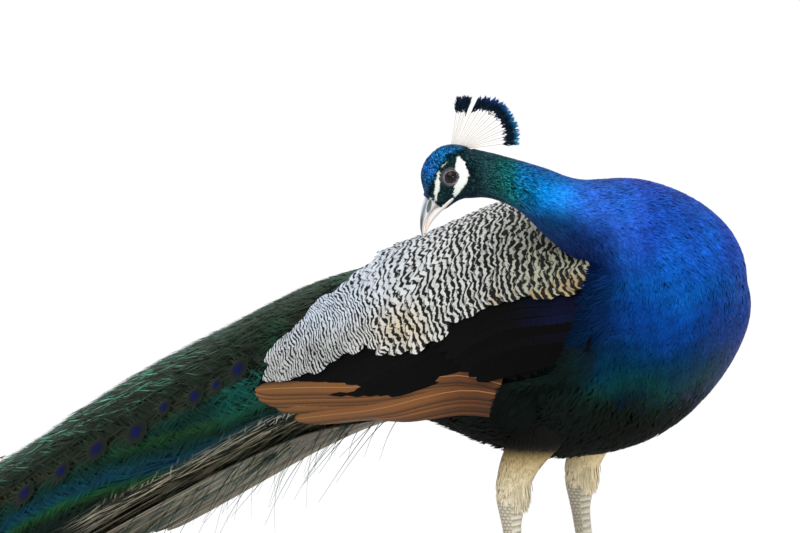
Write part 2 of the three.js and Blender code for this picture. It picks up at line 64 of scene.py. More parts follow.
# Trunk and train in upright sections: [x, top, bottom, half width, height of the widest line
# as a share, squareness below it, squareness above].
BODY = np.array([
    [417, 356, 344, 5, 0.5, 2, 2], [409.5, 384, 312, 43, 0.5, 2, 2],
    [391, 401, 279, 65, 0.5, 2, 2], [361, 413, 245, 86, 0.5, 2, 2],
    [320, 427, 213, 100, 0.48, 2, 2.1], [270, 436, 194, 106, 0.47, 2, 2.2],
    [220, 442, 187, 108, 0.46, 2, 2.4], [170, 434, 189, 107, 0.46, 2, 2.5],
    [120, 416, 199, 103, 0.46, 2.1, 2.5], [70, 396, 210, 97, 0.46, 2.2, 2.5],
    [20, 379, 214, 92, 0.46, 2.3, 2.5], [-40, 363, 205, 88, 0.46, 2.4, 2.4],
    [-110, 341, 186, 88, 0.44, 2.5, 2.2], [-200, 301, 141, 94, 0.42, 2.6, 2.1],
    [-310, 251, 86, 104, 0.4, 2.6, 2], [-400, 202, 41, 114, 0.38, 2.7, 2],
    [-460, 165, 16, 120, 0.36, 2.8, 2], [-520, 132, 3, 126, 0.35, 3, 2],
    [-580, 105, -3, 132, 0.34, 3, 2], [-640, 84, -8, 138, 0.33, 3.2, 2],
    [-740, 62, -8, 146, 0.33, 3.5, 2], [-880, 47, -8, 154, 0.34, 3.5, 2],
    [-1040, 37, -8, 158, 0.35, 3.5, 2], [-1170, 29, -8, 146, 0.36, 3.5, 2],
    [-1270, 22, -8, 116, 0.38, 3.5, 2], [-1340, 15, -8, 70, 0.4, 3.5, 2],
])
TRAIN_SPLIT_X = -860.0  # the join between the train's last two lengths

# Neck stations, from inside the breast to the head: place, heading, half depth, half width.
NECK = np.array([
    [300, 8, 312, 0.05, -0.05, 1, 76, 78], [332, 2.4, 347, -0.12, -0.15, 0.97, 84, 86],
    [332, -10.4, 388, -0.27, -0.42, 0.87, 80, 83], [316, -53, 427, -0.44, -0.72, 0.55, 54, 56],
    [287, -101, 445.5, -0.46, -0.74, 0.5, 33.5, 35],
    [267, -131, 466, -0.52, -0.72, 0.46, 24.5, 25.5],
    [246, -151, 477, -0.68, -0.62, 0.39, 22, 21.5],
    [226, -167, 482, -0.77, -0.6, 0.2, 22.5, 19], [215, -175, 482, -0.8, -0.58, -0.05, 18, 15],
    [206, -181, 480, -0.8, -0.58, -0.2, 12, 10],
])
NECK_ACROSS = np.array([0.616, -0.788, 0.0])  # square to the plane that the neck bends in

# Head in its own frame, +X to the bill and +Z to the crown: [x, top, bottom, half width].
SKULL = np.array([
    [-34, 0, -8, 4], [-32, 8, -16, 9], [-26, 18, -25, 14], [-17, 25.5, -30, 17],
    [-8, 28.2, -30.5, 17.8], [0, 28.8, -27.5, 17.4], [8, 27.6, -22.5, 16.4],
    [15, 24.6, -19, 15], [21, 19.6, -17.4, 12.9], [26, 13, -16, 11], [29, 8.5, -15, 9.8],
])
HEAD_AT = np.array([205.0, -180.0, 478.0])
HEAD_YAW_DEG = 218.0
HEAD_DOWN_DEG = 50.0
FACE_REACH = 45.0
EYE_RADIUS = 8.4
EYE_OUT = 11.0
EYE_AT = (-0.5, 1.5)

THIGH = np.array([
    [240, 240, 30, 26], [222, 216, 26, 22], [206, 196, 22.5, 18.5], [195, 178, 20, 16],
    [188, 160, 18, 14.5], [186, 150, 17.4, 13.6],
])
SHANK = np.array([
    [186, 150, 17, 12.8], [186, 139, 16, 12], [186, 126, 12.6, 9.8], [187, 112, 10.2, 8],
    [191, 84, 8.8, 7.2], [197, 58, 8.4, 7.2], [203, 32, 9.4, 8.4], [205, 17, 10.6, 10],
])
LEG_SPREAD = 55.0
HOCK_Z = 150.0
FAR_LEG_FORWARD = (6.0, 10.0)
FAR_LEG_LIFT = 8.0


# ------------------------------------------------------------------ sums on arrays
def unit(vectors: Array) -> Array:
    """Vectors at length one, in the same directions."""
    return vectors / np.maximum(np.linalg.norm(vectors, axis=-1, keepdims=True), 1e-9)


def dot(a: Array, b: Array) -> Array:
    """The dot product of each pair of vectors."""
    return (a * b).sum(-1)


def ease(low: float, high: float, value: Array) -> Array:
    """A smooth step.

    Args:
        low: Where it starts to leave 0, or 1 if low is over high.
        high: Where it reaches the other end.
        value: Values to step over.

    Returns:
        3 t^2 - 2 t^3, where t runs from 0 at low to 1 at high.
    """
    t = np.clip((value - low) / (high - low), 0.0, 1.0)
    return t * t * (3.0 - 2.0 * t)


def mix(a: Array, b: Array, share: Array) -> Array:
    """a where share is 0 and b where it is 1, with share widened to the colours' last axis."""
    share = np.asarray(share)[..., None]
    return a * (1.0 - share) + b * share


def linear(code: int) -> Array:
    """A colour written as 0xRRGGBB, as it shows on a screen, in linear red, green and blue."""
    shown = np.array([(code >> 16) & 255, (code >> 8) & 255, code & 255]) / 255.0
    return np.where(shown > 0.04045, ((shown + 0.055) / 1.055) ** 2.4, shown / 12.92)


def opaque(code: int) -> tuple[float, ...]:
    """The same with an alpha of one."""
    return (*linear(code), 1.0)


def turns(count: int) -> Array:
    """Angles evenly round a circle."""
    return np.linspace(0, 2 * np.pi, count, endpoint=False)


def each(values: Array) -> Array:
    """One value or vector for each feather, ready to go over its grid."""
    return values[:, None, None]


def smooth_rows(rows: Array, t: Array) -> Array:
    """Catmull-Rom rows between a table's rows.

    Args:
        rows: (n, columns) table.
        t: Places along the table, from 0 to n - 1.

    Returns:
        A row for each t: a cubic through the four nearest rows.
    """
    start = np.clip(np.floor(t).astype(int), 0, len(rows) - 2)
    f = (t - start)[..., None]
    a, b, d, e = (rows[np.clip(start + k, 0, len(rows) - 1)] for k in (-1, 0, 1, 2))
    bend = 2 * a - 5 * b + 4 * d - e
    twist = 3 * b - a - 3 * d + e
    return 0.5 * (2 * b + (d - a) * f + bend * f**2 + twist * f**3)


def dense_rows(rows: Array, count: int) -> Array:
    """A table with count smooth rows, evenly spaced in the table's own index."""
    return smooth_rows(rows, np.linspace(0, len(rows) - 1, count))


def blend_near(a: Array, b: Array, width: Array | float) -> Array:
    """The smaller of two distances, rounded where they are within width of each other.

    Args:
        a: Distances to one shape.
        b: Distances to another.
        width: How wide the fillet between the shapes is.

    Returns:
        Distances to both shapes together.
    """
    share = np.clip(0.5 + 0.5 * (b - a) / width, 0.0, 1.0)
    return b * (1 - share) + a * share - width * share * (1 - share)


def ramp(value: Array, stops: list[tuple[float, int]]) -> Array:
    """Linear colours at places along a ramp.

    Args:
        value: Places on the ramp.
        stops: (place, 0xRRGGBB) in rising order of place.

    Returns:
        (..., 3) colours, blended between the stops.
    """
    places = [place for place, _ in stops]
    shades = np.array([linear(code) for _, code in stops])
    return np.stack([np.interp(value, places, shades[:, k]) for k in range(3)], -1)


def between(grid: Array, row: Array, column: Array, closed: bool = False) -> Array:
    """Values between a grid's points.

    Args:
        grid: (rows, columns, n) values.
        row: Row numbers, with fractions.
        column: Column numbers, with fractions.
        closed: True if the last column joins the first.

    Returns:
        The four nearest values of each place, weighted.
    """
    rows, columns = grid.shape[:2]
    row = np.clip(row, 0, rows - 1.001)
    column = column if closed else np.clip(column, 0, columns - 1.001)
    i, j = np.floor(row).astype(int), np.floor(column).astype(int)
    fi, fj = (row - i)[..., None], (column - j)[..., None]
    j, after = j % columns, (j + 1) % columns
    near = grid[i, j] * (1 - fj) + grid[i, after] * fj
    far = grid[i + 1, j] * (1 - fj) + grid[i + 1, after] * fj
    return near * (1 - fi) + far * fi


def inside(points: Array, outline: Array) -> Array:
    """Which (n, 2) points lie in a closed outline of (m, 2) corners.

    Args:
        points: The points.
        outline: The corners.

    Returns:
        True where a ray towards +x crosses the outline an odd number of times.
    """
    a, b = outline, np.roll(outline, -1, axis=0)
    y = points[:, 1, None]
    straddles = (a[:, 1] > y) != (b[:, 1] > y)
    rise = np.where(np.abs(b[:, 1] - a[:, 1]) < 1e-9, 1e-9, b[:, 1] - a[:, 1])
    cross = a[:, 0] + (y - a[:, 1]) / rise * (b[:, 0] - a[:, 0])
    return ((points[:, 0, None] < cross) & straddles).sum(1) % 2 == 1


def wash(shade: Array, code: int, share: Array | float) -> Array:
    """A shade with a wash of a hex colour over it."""
    return mix(shade, linear(code), share)


def bump(*ways: Array) -> Array:
    """A smooth hump, 1 where every way is 0: exp of minus the sum of their squares."""
    return np.exp(-sum(way**2 for way in ways))


# ------------------------------------------------------------------ writing meshes
def bird_origin() -> Array:
    """Where the bird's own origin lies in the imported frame, in metres.

    Returns:
        The place, from the train's join, which is square to X, and from the breast's middle.
    """
    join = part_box("train_middle")[0][0]
    low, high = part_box("breast")
    return np.array([join - TRAIN_SPLIT_X * MM, (low[1] + high[1]) / 2, 0.0])


ORIGIN = bird_origin()


@dataclass
class Surface:
    """Points and faces of one piece, with what its material reads from them."""

    points: Array
    faces: Array
    tint: Array
    vane: Array
    chart: Array  # places on the bake map
    lie: Array | None = None  # places over the coat, for patterns that run on

    def above(self, height: float) -> "Surface":
        """This surface, with every point at least so high."""
        self.points[:, 2] = np.maximum(self.points[:, 2], height)
        return self


def joined(*surfaces: Surface) -> Surface:
    """Several surfaces of one kind as one."""
    first = np.cumsum([0, *(len(part.points) for part in surfaces)])
    faces = [part.faces + start for part, start in zip(surfaces, first)]
    points, tint, vane, chart = (
        np.concatenate([getattr(part, name) for part in surfaces])
        for name in ("points", "tint", "vane", "chart"))
    return Surface(points, np.concatenate(faces), tint, vane, chart)


def grid_faces(rows: int, columns: int, closed: bool = False) -> Array:
    """Quads of a grid of points.

    Args:
        rows: Points along the grid.
        columns: Points across it, the fastest in the numbering.
        closed: True if the last column joins the first.

    Returns:
        (n, 4) corner numbers, which turn anticlockwise with rows up and columns to the left.
    """
    row = np.arange(rows - 1)[:, None] * columns
    column = np.arange(columns if closed else columns - 1)[None, :]
    after = (column + 1) % columns
    corners = [row + column, row + after, row + columns + after, row + columns + column]
    return np.stack(np.broadcast_arrays(*corners), -1).reshape(-1, 4)


def tube_surface(rings: Array, shade: Array | Callable[[Array], Array]) -> Surface:
    """A closed tube over rings of points, with a pole in the middle of each end.

    Args:
        rings: (rings, sides, 3) points.
        shade: Its colours, for all its points and poles, or how they come from the points.

    Returns:
        The tube. A pole is a ring drawn in to one point.
    """
    first = np.broadcast_to(rings[0].mean(0), rings[0].shape)
    last = np.broadcast_to(rings[-1].mean(0), rings[-1].shape)
    whole = np.concatenate([first[None], rings, last[None]])
    count, sides = whole.shape[:2]
    t = np.repeat(np.linspace(0, 1, count), sides)
    a = np.tile(np.arange(sides) / sides, count)
    chart = np.stack([a, t], -1)
    vane = np.stack([t, a, np.zeros_like(t)], -1)
    points = whole.reshape(-1, 3)
    tint = shade(points) if callable(shade) else np.broadcast_to(shade, points.shape)
    return Surface(points, grid_faces(count, sides, closed=True), tint, vane, chart)


def with_poles(values: Array) -> Array:
    """A value for each of a tube's points, from those of its rings, and its poles from the ends."""
    return np.concatenate([values[:1], values, values[-1:]]).ravel()


def write_piece(
    name: str, surface: Surface, finish: "Finish", slot: str, *stands_for: str,
    tidy: bool = False
) -> None:
    """Args:
        name: The piece's name.
        surface: Its points in millimetres, its faces and its attributes.
        finish: What it wears.
        slot: The record's material slot; not used.
        stands_for: CAD nodes that it replaces.
        tidy: True for a closed shape whose poles are to be merged and faces turned outwards.
    """
    mesh = bpy.data.meshes.new(name)
    points = surface.points * MM + ORIGIN
    faces = surface.faces.astype(np.int32)
    mesh.vertices.add(len(points))
    mesh.vertices.foreach_set("co", points.astype(np.float32).ravel())
    mesh.loops.add(faces.size)
    mesh.loops.foreach_set("vertex_index", faces.ravel())
    mesh.polygons.add(len(faces))
    starts = np.arange(0, faces.size, faces.shape[1], dtype=np.int32)
    mesh.polygons.foreach_set("loop_start", starts)
    mesh.update(calc_edges=True)
    tint = np.concatenate([surface.tint, np.ones((len(points), 1))], 1)
    for label, kind, values in (("tint", "color", tint), ("vane", "vector", surface.vane),
                                ("lie", "vector", surface.lie)):
        if values is not None:
            layer = mesh.attributes.new(label, "FLOAT_" + kind.upper(), "POINT")
            layer.data.foreach_set(kind, values.astype(np.float32).ravel())
    layer = mesh.uv_layers.new(name="OFBake")
    layer.data.foreach_set("uv", surface.chart[faces.ravel()].astype(np.float32).ravel())
    mesh.polygons.foreach_set("use_smooth", np.ones(len(faces), dtype=bool))
    mesh.materials.append(material(finish))
    piece = add_object(name, mesh)
    if tidy:
        work = bmesh.new()
        work.from_mesh(mesh)
        bmesh.ops.remove_doubles(work, verts=work.verts, dist=1e-5)
        bmesh.ops.dissolve_degenerate(work, dist=1e-6, edges=work.edges)
        bmesh.ops.recalc_face_normals(work, faces=work.faces)
        work.to_mesh(mesh)
        work.free()
    mesh.validate()
    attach(piece, "root")
    if stands_for:
        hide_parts(*stands_for)
    LOG.info("%s: %d faces", name, len(mesh.polygons))


def add_object(name: str, content: bpy.types.ID) -> bpy.types.Object:
    """A new object in the scene."""
    made = bpy.data.objects.new(name, content)
    bpy.context.collection.objects.link(made)
    return made


# ------------------------------------------------------------------ the bird's form
@dataclass
class BodyLoft:
    """Trunk and train: superellipse sections square to X."""

    table: Array
    samples: int = 900
    x: Array = field(init=False)
    columns: Array = field(init=False)

    def __post_init__(self) -> None:
        """Samples the table finely, in rising order of x."""
        dense = dense_rows(self.table, self.samples)
        order = np.argsort(dense[:, 0])
        self.x = dense[order, 0]
        self.columns = dense[order, 1:]

    def section(self, x: Array) -> list[Array]:
        """Top, bottom, half width, widest share and the two squarenesses at x."""
        return [np.interp(x, self.x, column) for column in self.columns.T]

    def distance(self, points: Array) -> Array:
        """Distance out from the section's skin.

        Args:
            points: (..., 3) points.

        Returns:
            The length of the ray from the section's middle, past the skin: below 0 inside.
        """
        x, y, z = np.moveaxis(points, -1, 0)
        top, bottom, half, widest, below, above = self.section(x)
        level = bottom + (top - bottom) * widest
        low = z < level
        power = np.where(low, below, above)
        reach = np.where(low, level - bottom, top - level)
        share = (np.abs(y) / half) ** power + (np.abs(z - level) / reach) ** power
        share = np.maximum(share ** (1 / power), 1e-3)
        radius = np.maximum(np.hypot(y, z - level), 1e-3 * half)
        return np.maximum(radius * (1 - 1 / share), x - self.x[-1])


@dataclass
class Limb:
    """A tube of ellipses along a path: a neck or a leg."""

    rows: Array
    across: Array
    samples: int = 110
    centre: Array = field(init=False)
    heading: Array = field(init=False)
    sizes: Array = field(init=False)
    wide: Array = field(init=False)
    deep: Array = field(init=False)
    arc: Array = field(init=False)

    def __post_init__(self) -> None:
        """Samples the path finely, with its frames and its length."""
        dense = dense_rows(self.rows, self.samples)
        self.centre = dense[:, :3]
        self.heading = unit(dense[:, 3:6])
        self.sizes = dense[:, 6:8]
        aside = self.heading * (self.heading @ self.across)[:, None]
        self.wide = unit(self.across - aside)
        self.deep = np.cross(self.heading, self.wide)
        steps = dot(np.diff(self.centre, axis=0), self.heading[1:] + self.heading[:-1]) / 2
        self.arc = np.concatenate([[0.0], np.cumsum(steps)])

    def nearest(self, points: Array) -> Array:
        """The number of the sample whose plane holds each point, the near ones first."""
        squares = dot(self.centre, self.centre) - 2 * (points @ self.centre.T)
        ahead = points @ self.heading.T - dot(self.centre, self.heading)
        return np.argmin(squares + 12 * ahead**2, axis=-1)

    def distance(self, points: Array) -> Array:
        """Distance out from the tube's skin.

        Args:
            points: (n, 3) points.

        Returns:
            The length of the ray from the path, past the skin, with flat ends.
        """
        j = self.nearest(points)
        v = points - self.centre[j]
        along = dot(v, self.heading[j])
        depth, width = (np.interp(self.arc[j] + along, self.arc, part) for part in self.sizes.T)
        a, b = dot(v, self.deep[j]), dot(v, self.wide[j])
        share = np.maximum(np.hypot(a / depth, b / width), 1e-3)
        radius = np.maximum(np.hypot(a, b), 1e-3 * width)
        past = np.where(j == 0, -along, np.where(j == self.samples - 1, along, -np.inf))
        return np.maximum(radius * (1 - 1 / share), past)

    def rings(self, count: int, sides: int, grow: float = 0.0) -> Array:
        """Rings round the tube.

        Args:
            count: Rings along it.
            sides: Points round each.
            grow: Added to the radius.

        Returns:
            (count, sides, 3) points: centre + deep cos a + wide sin a.
        """
        j = np.linspace(0, self.samples - 1, count).round().astype(int)
        angle = turns(sides)[None, :, None]
        depth, width = (self.sizes[j, k, None, None] + grow for k in (0, 1))
        deep = self.deep[j, None] * depth * np.cos(angle)
        return self.centre[j, None] + deep + self.wide[j, None] * width * np.sin(angle)


@dataclass
class HeadFrame:
    """The head's own axes, and its skull as ellipses square to the bill's line."""

    at: Array
    yaw: float
    down: float
    skull: Array
    axes: Array = field(init=False)
    dense: Array = field(init=False)

    def __post_init__(self) -> None:
        """Turns nose down about the head's side axis, and then about the upright one."""
        yaw, down = np.radians([self.yaw, self.down])
        cy, sy, cd, sd = np.cos(yaw), np.sin(yaw), np.cos(down), np.sin(down)
        self.axes = np.array([[cy * cd, sy * cd, -sd], [-sy, cy, 0], [cy * sd, sy * sd, cd]])
        self.dense = dense_rows(self.skull, 300)

    def place(self, local: Array) -> Array:
        """Points of the head's frame in the bird's."""
        return local @ self.axes + self.at

    def local(self, points: Array) -> Array:
        """Points of the bird's frame in the head's."""
        return (points - self.at) @ self.axes.T

    def section(self, x: Array) -> list[Array]:
        """Top, bottom and half width at x."""
        return [np.interp(x, self.dense[:, 0], self.dense[:, k]) for k in (1, 2, 3)]

    def distance(self, points: Array) -> Array:
        """Distance out from the skull's skin, below 0 inside.

        Args:
            points: (n, 3) points of the bird's frame.

        Returns:
            The length of the ray from the section's middle, past the skin.
        """
        x, y, z = np.moveaxis(self.local(points), -1, 0)
        top, bottom, half = self.section(x)
        level = (top + bottom) / 2
        share = np.maximum(np.hypot(y / half, 2 * (z - level) / (top - bottom)), 1e-3)
        radius = np.maximum(np.hypot(y, z - level), 1e-3 * half)
        over = np.maximum(x - self.dense[-1, 0], self.dense[0, 0] - x)
        return np.maximum(radius * (1 - 1 / share), over)


BODY_LOFT = BodyLoft(BODY)
NECK_TUBE = Limb(NECK, NECK_ACROSS)
HEAD = HeadFrame(HEAD_AT, HEAD_YAW_DEG, HEAD_DOWN_DEG, SKULL)
NECK_FOOT = np.array([303.0, -72.0, 424.0])  # where the neck leaves the breast


def form(points: Array) -> Array:
    """Distance out from trunk, neck and head together.

    Args:
        points: (..., 3) points.

    Returns:
        The three distances joined, with fillets only round the neck's two ends.
    """
    flat = points.reshape(-1, 3)
    fillet = 2 + 24 * ease(125, 55, np.linalg.norm(flat - NECK_FOOT, axis=-1))
    body = blend_near(BODY_LOFT.distance(flat), NECK_TUBE.distance(flat), fillet)
    return blend_near(body, HEAD.distance(flat), 9.0).reshape(points.shape[:-1])


def leg_shift(side: float, z: Array) -> tuple[Array, Array]:
    """How far the left leg stands forward and up of the right one at a height."""
    if side < 0:
        return np.zeros_like(z), np.zeros_like(z)
    down = np.clip((HOCK_Z - z) / HOCK_Z, 0, 1)
    forward = FAR_LEG_FORWARD[0] + FAR_LEG_FORWARD[1] * down**2
    return forward, FAR_LEG_LIFT * np.minimum(1, z / HOCK_Z)


def leg_tube(rows: Array, side: float) -> Limb:
    """A leg's table of [x, z, depth, width] as a tube on one side."""
    dx, dz = leg_shift(side, rows[:, 1])
    slope = np.gradient(rows[:, :2], axis=0)
    x, z = rows[:, 0] + dx, rows[:, 1] + dz
    still = np.zeros_like(x)
    path = [x, still + side * LEG_SPREAD, z, slope[:, 0], still, slope[:, 1]]
    return Limb(np.stack([*path, rows[:, 2], rows[:, 3]], -1), np.array([0.0, 1.0, 0.0]))


@dataclass
class Roots:
    """Where feathers stand: places, ways out, and places on the bake map."""

    place: Array
    normal: Array
    chart: Array

    def keep(self, chosen: Array) -> "Roots":
        """The chosen ones alone."""
        return Roots(self.place[chosen], self.normal[chosen], self.chart[chosen])


@dataclass
class Chart:
    """Rings of points that feathers stand on, addressed by row and column."""

    points: Array
    normals: Array

    def cell_areas(self) -> Array:
        """Area of each cell, from two of its sides."""
        across = np.roll(self.points, -1, 1) - self.points
        along = np.diff(self.points, axis=0)
        return np.linalg.norm(np.cross(along, across[:-1]), axis=-1)

    def at(self, row: Array, column: Array) -> Roots:
        """Roots at places between the grid's points.

        Args:
            row: Row numbers, with fractions.
            column: Column numbers, with fractions.

        Returns:
            Places and normals blended from the four nearest points, and their map places.
        """
        rows, columns = self.points.shape[:2]
        place, normal = (
            between(grid, row, column, True) for grid in (self.points, self.normals))
        chart = np.stack([(column % columns) / columns, np.clip(row, 0, rows - 1.001) / rows], -1)
        return Roots(place, unit(normal), chart)

    def scatter(self, rng: Rng, count: int, weight: Array) -> Roots:
        """Random roots.

        Args:
            rng: The source of chance.
            count: How many.
            weight: Share of each cell per area, on the grid's points.

        Returns:
            Roots, as many to each cell as its area and weight call for.
        """
        areas = self.cell_areas()
        odds = areas * weight[:-1]
        cells = rng.choice(odds.size, count, p=odds.ravel() / odds.sum())
        row, column = np.divmod(cells, areas.shape[1])
        return self.at(row + rng.random(count), column + rng.random(count))


def grid_normals(points: Array, closed: bool, outward: Array) -> Array:
    """Normals of a grid of points.

    Args:
        points: (rows, columns, 3).
        closed: True if the last column joins the first.
        outward: Rough ways out, which settle the sign.

    Returns:
        Unit normals from the differences along and across.
    """
    along = np.gradient(points, axis=0)
    across = np.roll(points, -1, 1) - np.roll(points, 1, 1) if closed else np.gradient(points, axis=1)
    normals = unit(np.cross(along, across))
    return normals * np.sign(dot(normals, outward))[..., None]


@dataclass
class SkinForm:
    """The bird's one skin, as rings thrown out from a line inside it.

    The line runs from the rump through the trunk and the neck to the bill. Rays leave it
    square to its way, and each stops where the form's distance is the coat's depth inside.
    """

    line: Array = field(default_factory=lambda: np.array([
        [-165, 0, 277, 13], [-100, 0, 282, 13], [-20, 0, 288, 10], [80, 0, 303, 9],
        [170, 0, 315, 9], [240, 0, 322, 8], [288, -1, 338, 7], [318, -8, 366, 6],
        [322, -26, 402, 5], [306, -64, 428, 4], [287, -100, 447, 3],
        [267, -130, 465, 2.6], [247, -150, 476, 2], [230, -164, 483, 1.5],
        [216, -173, 484, 1.1], [206, -180, 478, 0.9], [198, -186, 467, 0.9],
        [190.8, -191.2, 456.6, 1.0],
    ]))
    sides: int = 128
    tries: int = 26  # steps to find the skin along each ray
    chart: Chart = field(init=False)

    def stations(self) -> tuple[Array, Array]:
        """Places along the line, close together where the skin is fine, and the ways on."""
        dense = dense_rows(self.line, 3000)
        steps = np.linalg.norm(np.diff(dense[:, :3], axis=0), axis=1) / dense[1:, 3]
        count = np.concatenate([[0.0], np.cumsum(steps * 1.15)])
        wanted = np.linspace(0, count[-1], int(count[-1]))
        centre = np.stack([np.interp(wanted, count, dense[:, k]) for k in range(3)], -1)
        heading = unit(np.gradient(centre, axis=0))
        for _ in range(3):
            heading[1:-1] = unit(heading[:-2] + heading[1:-1] + heading[2:])
        return centre, heading

    def coat_depth(self, centre: Array) -> Array:
        """Depth of the coat over the skin at each station.

        Args:
            centre: (n, 3) places along the line.

        Returns:
            About 13 mm on the trunk, 7 on the neck and 1.4 on the head, and more and more
            at the rump, so that the skin closes there under the train's roots.
        """
        fore = np.linalg.norm(centre - HEAD.at, axis=1)
        depth = np.interp(fore, [22, 50, 95, 190, 260], [1.3, 3.4, 6.5, 11, 13])
        rump = np.clip(-15 - centre[:, 0], 0, None)
        return depth + np.where(centre[:, 0] < -15, rump**2 / 230, 0)

    def __post_init__(self) -> None:
        """Throws the rays. Each step moves on by the distance left over the last step's slope."""
        centre, heading = self.stations()
        up = np.zeros_like(heading)
        last = np.array([0.0, 0.0, 1.0])
        for k, way in enumerate(heading):
            last = unit(last - way * (last @ way))
            up[k] = last
        beside = np.cross(heading, up)
        angle = turns(self.sides)[None, :, None]
        rays = up[:, None] * np.cos(angle) + beside[:, None] * np.sin(angle)
        depth = self.coat_depth(centre)[:, None]
        out = np.full(rays.shape[:2], 2.0)
        slope, last_out, last_left = np.full_like(out, 1.4), out - 1.0, None
        room = np.interp(centre[:, 0], [-165, -120, -60, 0, 60], [16, 75, 125, 180, 260])
        for _ in range(self.tries):
            left = form(centre[:, None] + rays * out[..., None]) + depth
            if last_left is not None:
                moved = out - last_out
                found = (left - last_left) / np.where(np.abs(moved) < 0.02, np.inf, moved)
                slope = np.where(np.abs(moved) < 0.02, slope, np.clip(found, 1.2, 8))
            last_out, last_left = out, left
            out = np.clip(out - left / slope, 0.2, room[:, None])
        points = centre[:, None] + rays * out[..., None]
        self.chart = Chart(points, grid_normals(points, True, rays))


class Layer(Enum):
    """How far a layer of the wing stands over the body, in millimetres."""

    TRAIN = 0.0
    BACK = 11.0
    COVERTS = 15.0
    SECONDARIES = 10.0
    PRIMARIES = 6.0


@dataclass
class SidePanel:
    """Half of the body's outside, addressed by x and by the way down from the back's middle.

    The sections are the body's, grown, and under the wings as flat-sided as slab says.
    """

    over: float
    slab: float = 0.0
    x_step: float = 4.0
    down_step: float = 2.0
    x_low: float = -1340.0
    x_high: float = 410.0
    grid: Array = field(init=False)
    normals: Array = field(init=False)
    length: Array = field(init=False)

    def __post_init__(self) -> None:
        """Lays out each section by length along it, from the top to the bottom."""
        x = np.arange(self.x_low, self.x_high, self.x_step)
        top, bottom, half, widest, below, above = (
            part[:, None] for part in BODY_LOFT.section(x)
        )
        angle = np.linspace(np.pi / 2, -np.pi / 2, 721)[None]
        low = angle < 0
        power = np.where(low, np.maximum(below, self.slab), above)
        level = bottom + (top - bottom) * widest
        reach = np.where(low, level - bottom, top - level) + self.over
        y = (half + self.over) * np.abs(np.cos(angle)) ** (2 / power)
        z = level + reach * np.sign(angle) * np.abs(np.sin(angle)) ** (2 / power)
        steps = np.hypot(np.diff(y, axis=1), np.diff(z, axis=1))
        down = np.concatenate([np.zeros((len(x), 1)), np.cumsum(steps, axis=1)], 1)
        self.length = down[:, -1]
        wanted = np.arange(0, self.length.max() + self.down_step, self.down_step)
        columns = [
            [np.interp(wanted, down[i], y[i]), np.interp(wanted, down[i], z[i])]
            for i in range(len(x))
        ]
        sections = np.moveaxis(np.array(columns), 1, -1)
        across = np.broadcast_to(each(x), (*sections.shape[:2], 1))
        self.grid = np.concatenate([across, sections], -1)
        outward = self.grid - np.concatenate(
            [across, 0 * across, np.broadcast_to(level[:, :, None], across.shape)], -1
        )
        self.normals = grid_normals(self.grid, False, outward)

    def at(self, x: Array, down: Array, side: Array | float) -> tuple[Array, Array]:
        """Points and normals of the panel.

        Args:
            x: Places along the bird.
            down: Lengths down from the back's middle. Below 0 is over on the other side.
            side: 1 for the left, -1 for the right.

        Returns:
            Points and unit normals.
        """
        side = np.where(down < 0, -1.0, 1.0) * side
        row, column = (x - self.x_low) / self.x_step, np.abs(down) / self.down_step
        point, normal = between(self.grid, row, column), unit(between(self.normals, row, column))
        point[..., 0] = x
        flip = np.stack(np.broadcast_arrays(1.0, side + 0 * x, 1.0), -1)
        return point * flip, normal * flip

    def down_at(self, x: Array, z: Array) -> Array:
        """The way down to a height.

        Args:
            x: Places along the bird.
            z: Heights.

        Returns:
            Lengths down from the back's middle.
        """
        row = np.clip((x - self.x_low) / self.x_step, 0, len(self.grid) - 1).astype(int)
        column = np.argmin(np.abs(self.grid[row, :, 2] - z[:, None]), axis=1)
        return column * self.down_step

    def map_place(self, x: Array, down: Array, side: float) -> Array:
        """Places on the bake map: x along it, and the two sides down its two halves."""
        u = (x - self.x_low) / (self.x_high - self.x_low)
        return np.stack([u, 0.5 + 0.48 * side * down / self.length.max()], -1)


# ------------------------------------------------------------------ node groups and finishes
@dataclass(frozen=True)
class Signal:
    """A socket of a node tree that adds, subtracts and multiplies as a number does."""

    nodes: "Nodes"
    socket: bpy.types.NodeSocket

    def __add__(self, other: object) -> "Signal":
        """This plus another."""
        return self.nodes.math("ADD", self, other)

    def __sub__(self, other: object) -> "Signal":
        """This less another."""
        return self.nodes.math("SUBTRACT", self, other)

    def __rsub__(self, other: object) -> "Signal":
        """A number less this."""
        return self.nodes.math("SUBTRACT", other, self)

    def __mul__(self, other: object) -> "Signal":
        """This times another."""
        return self.nodes.math("MULTIPLY", self, other)


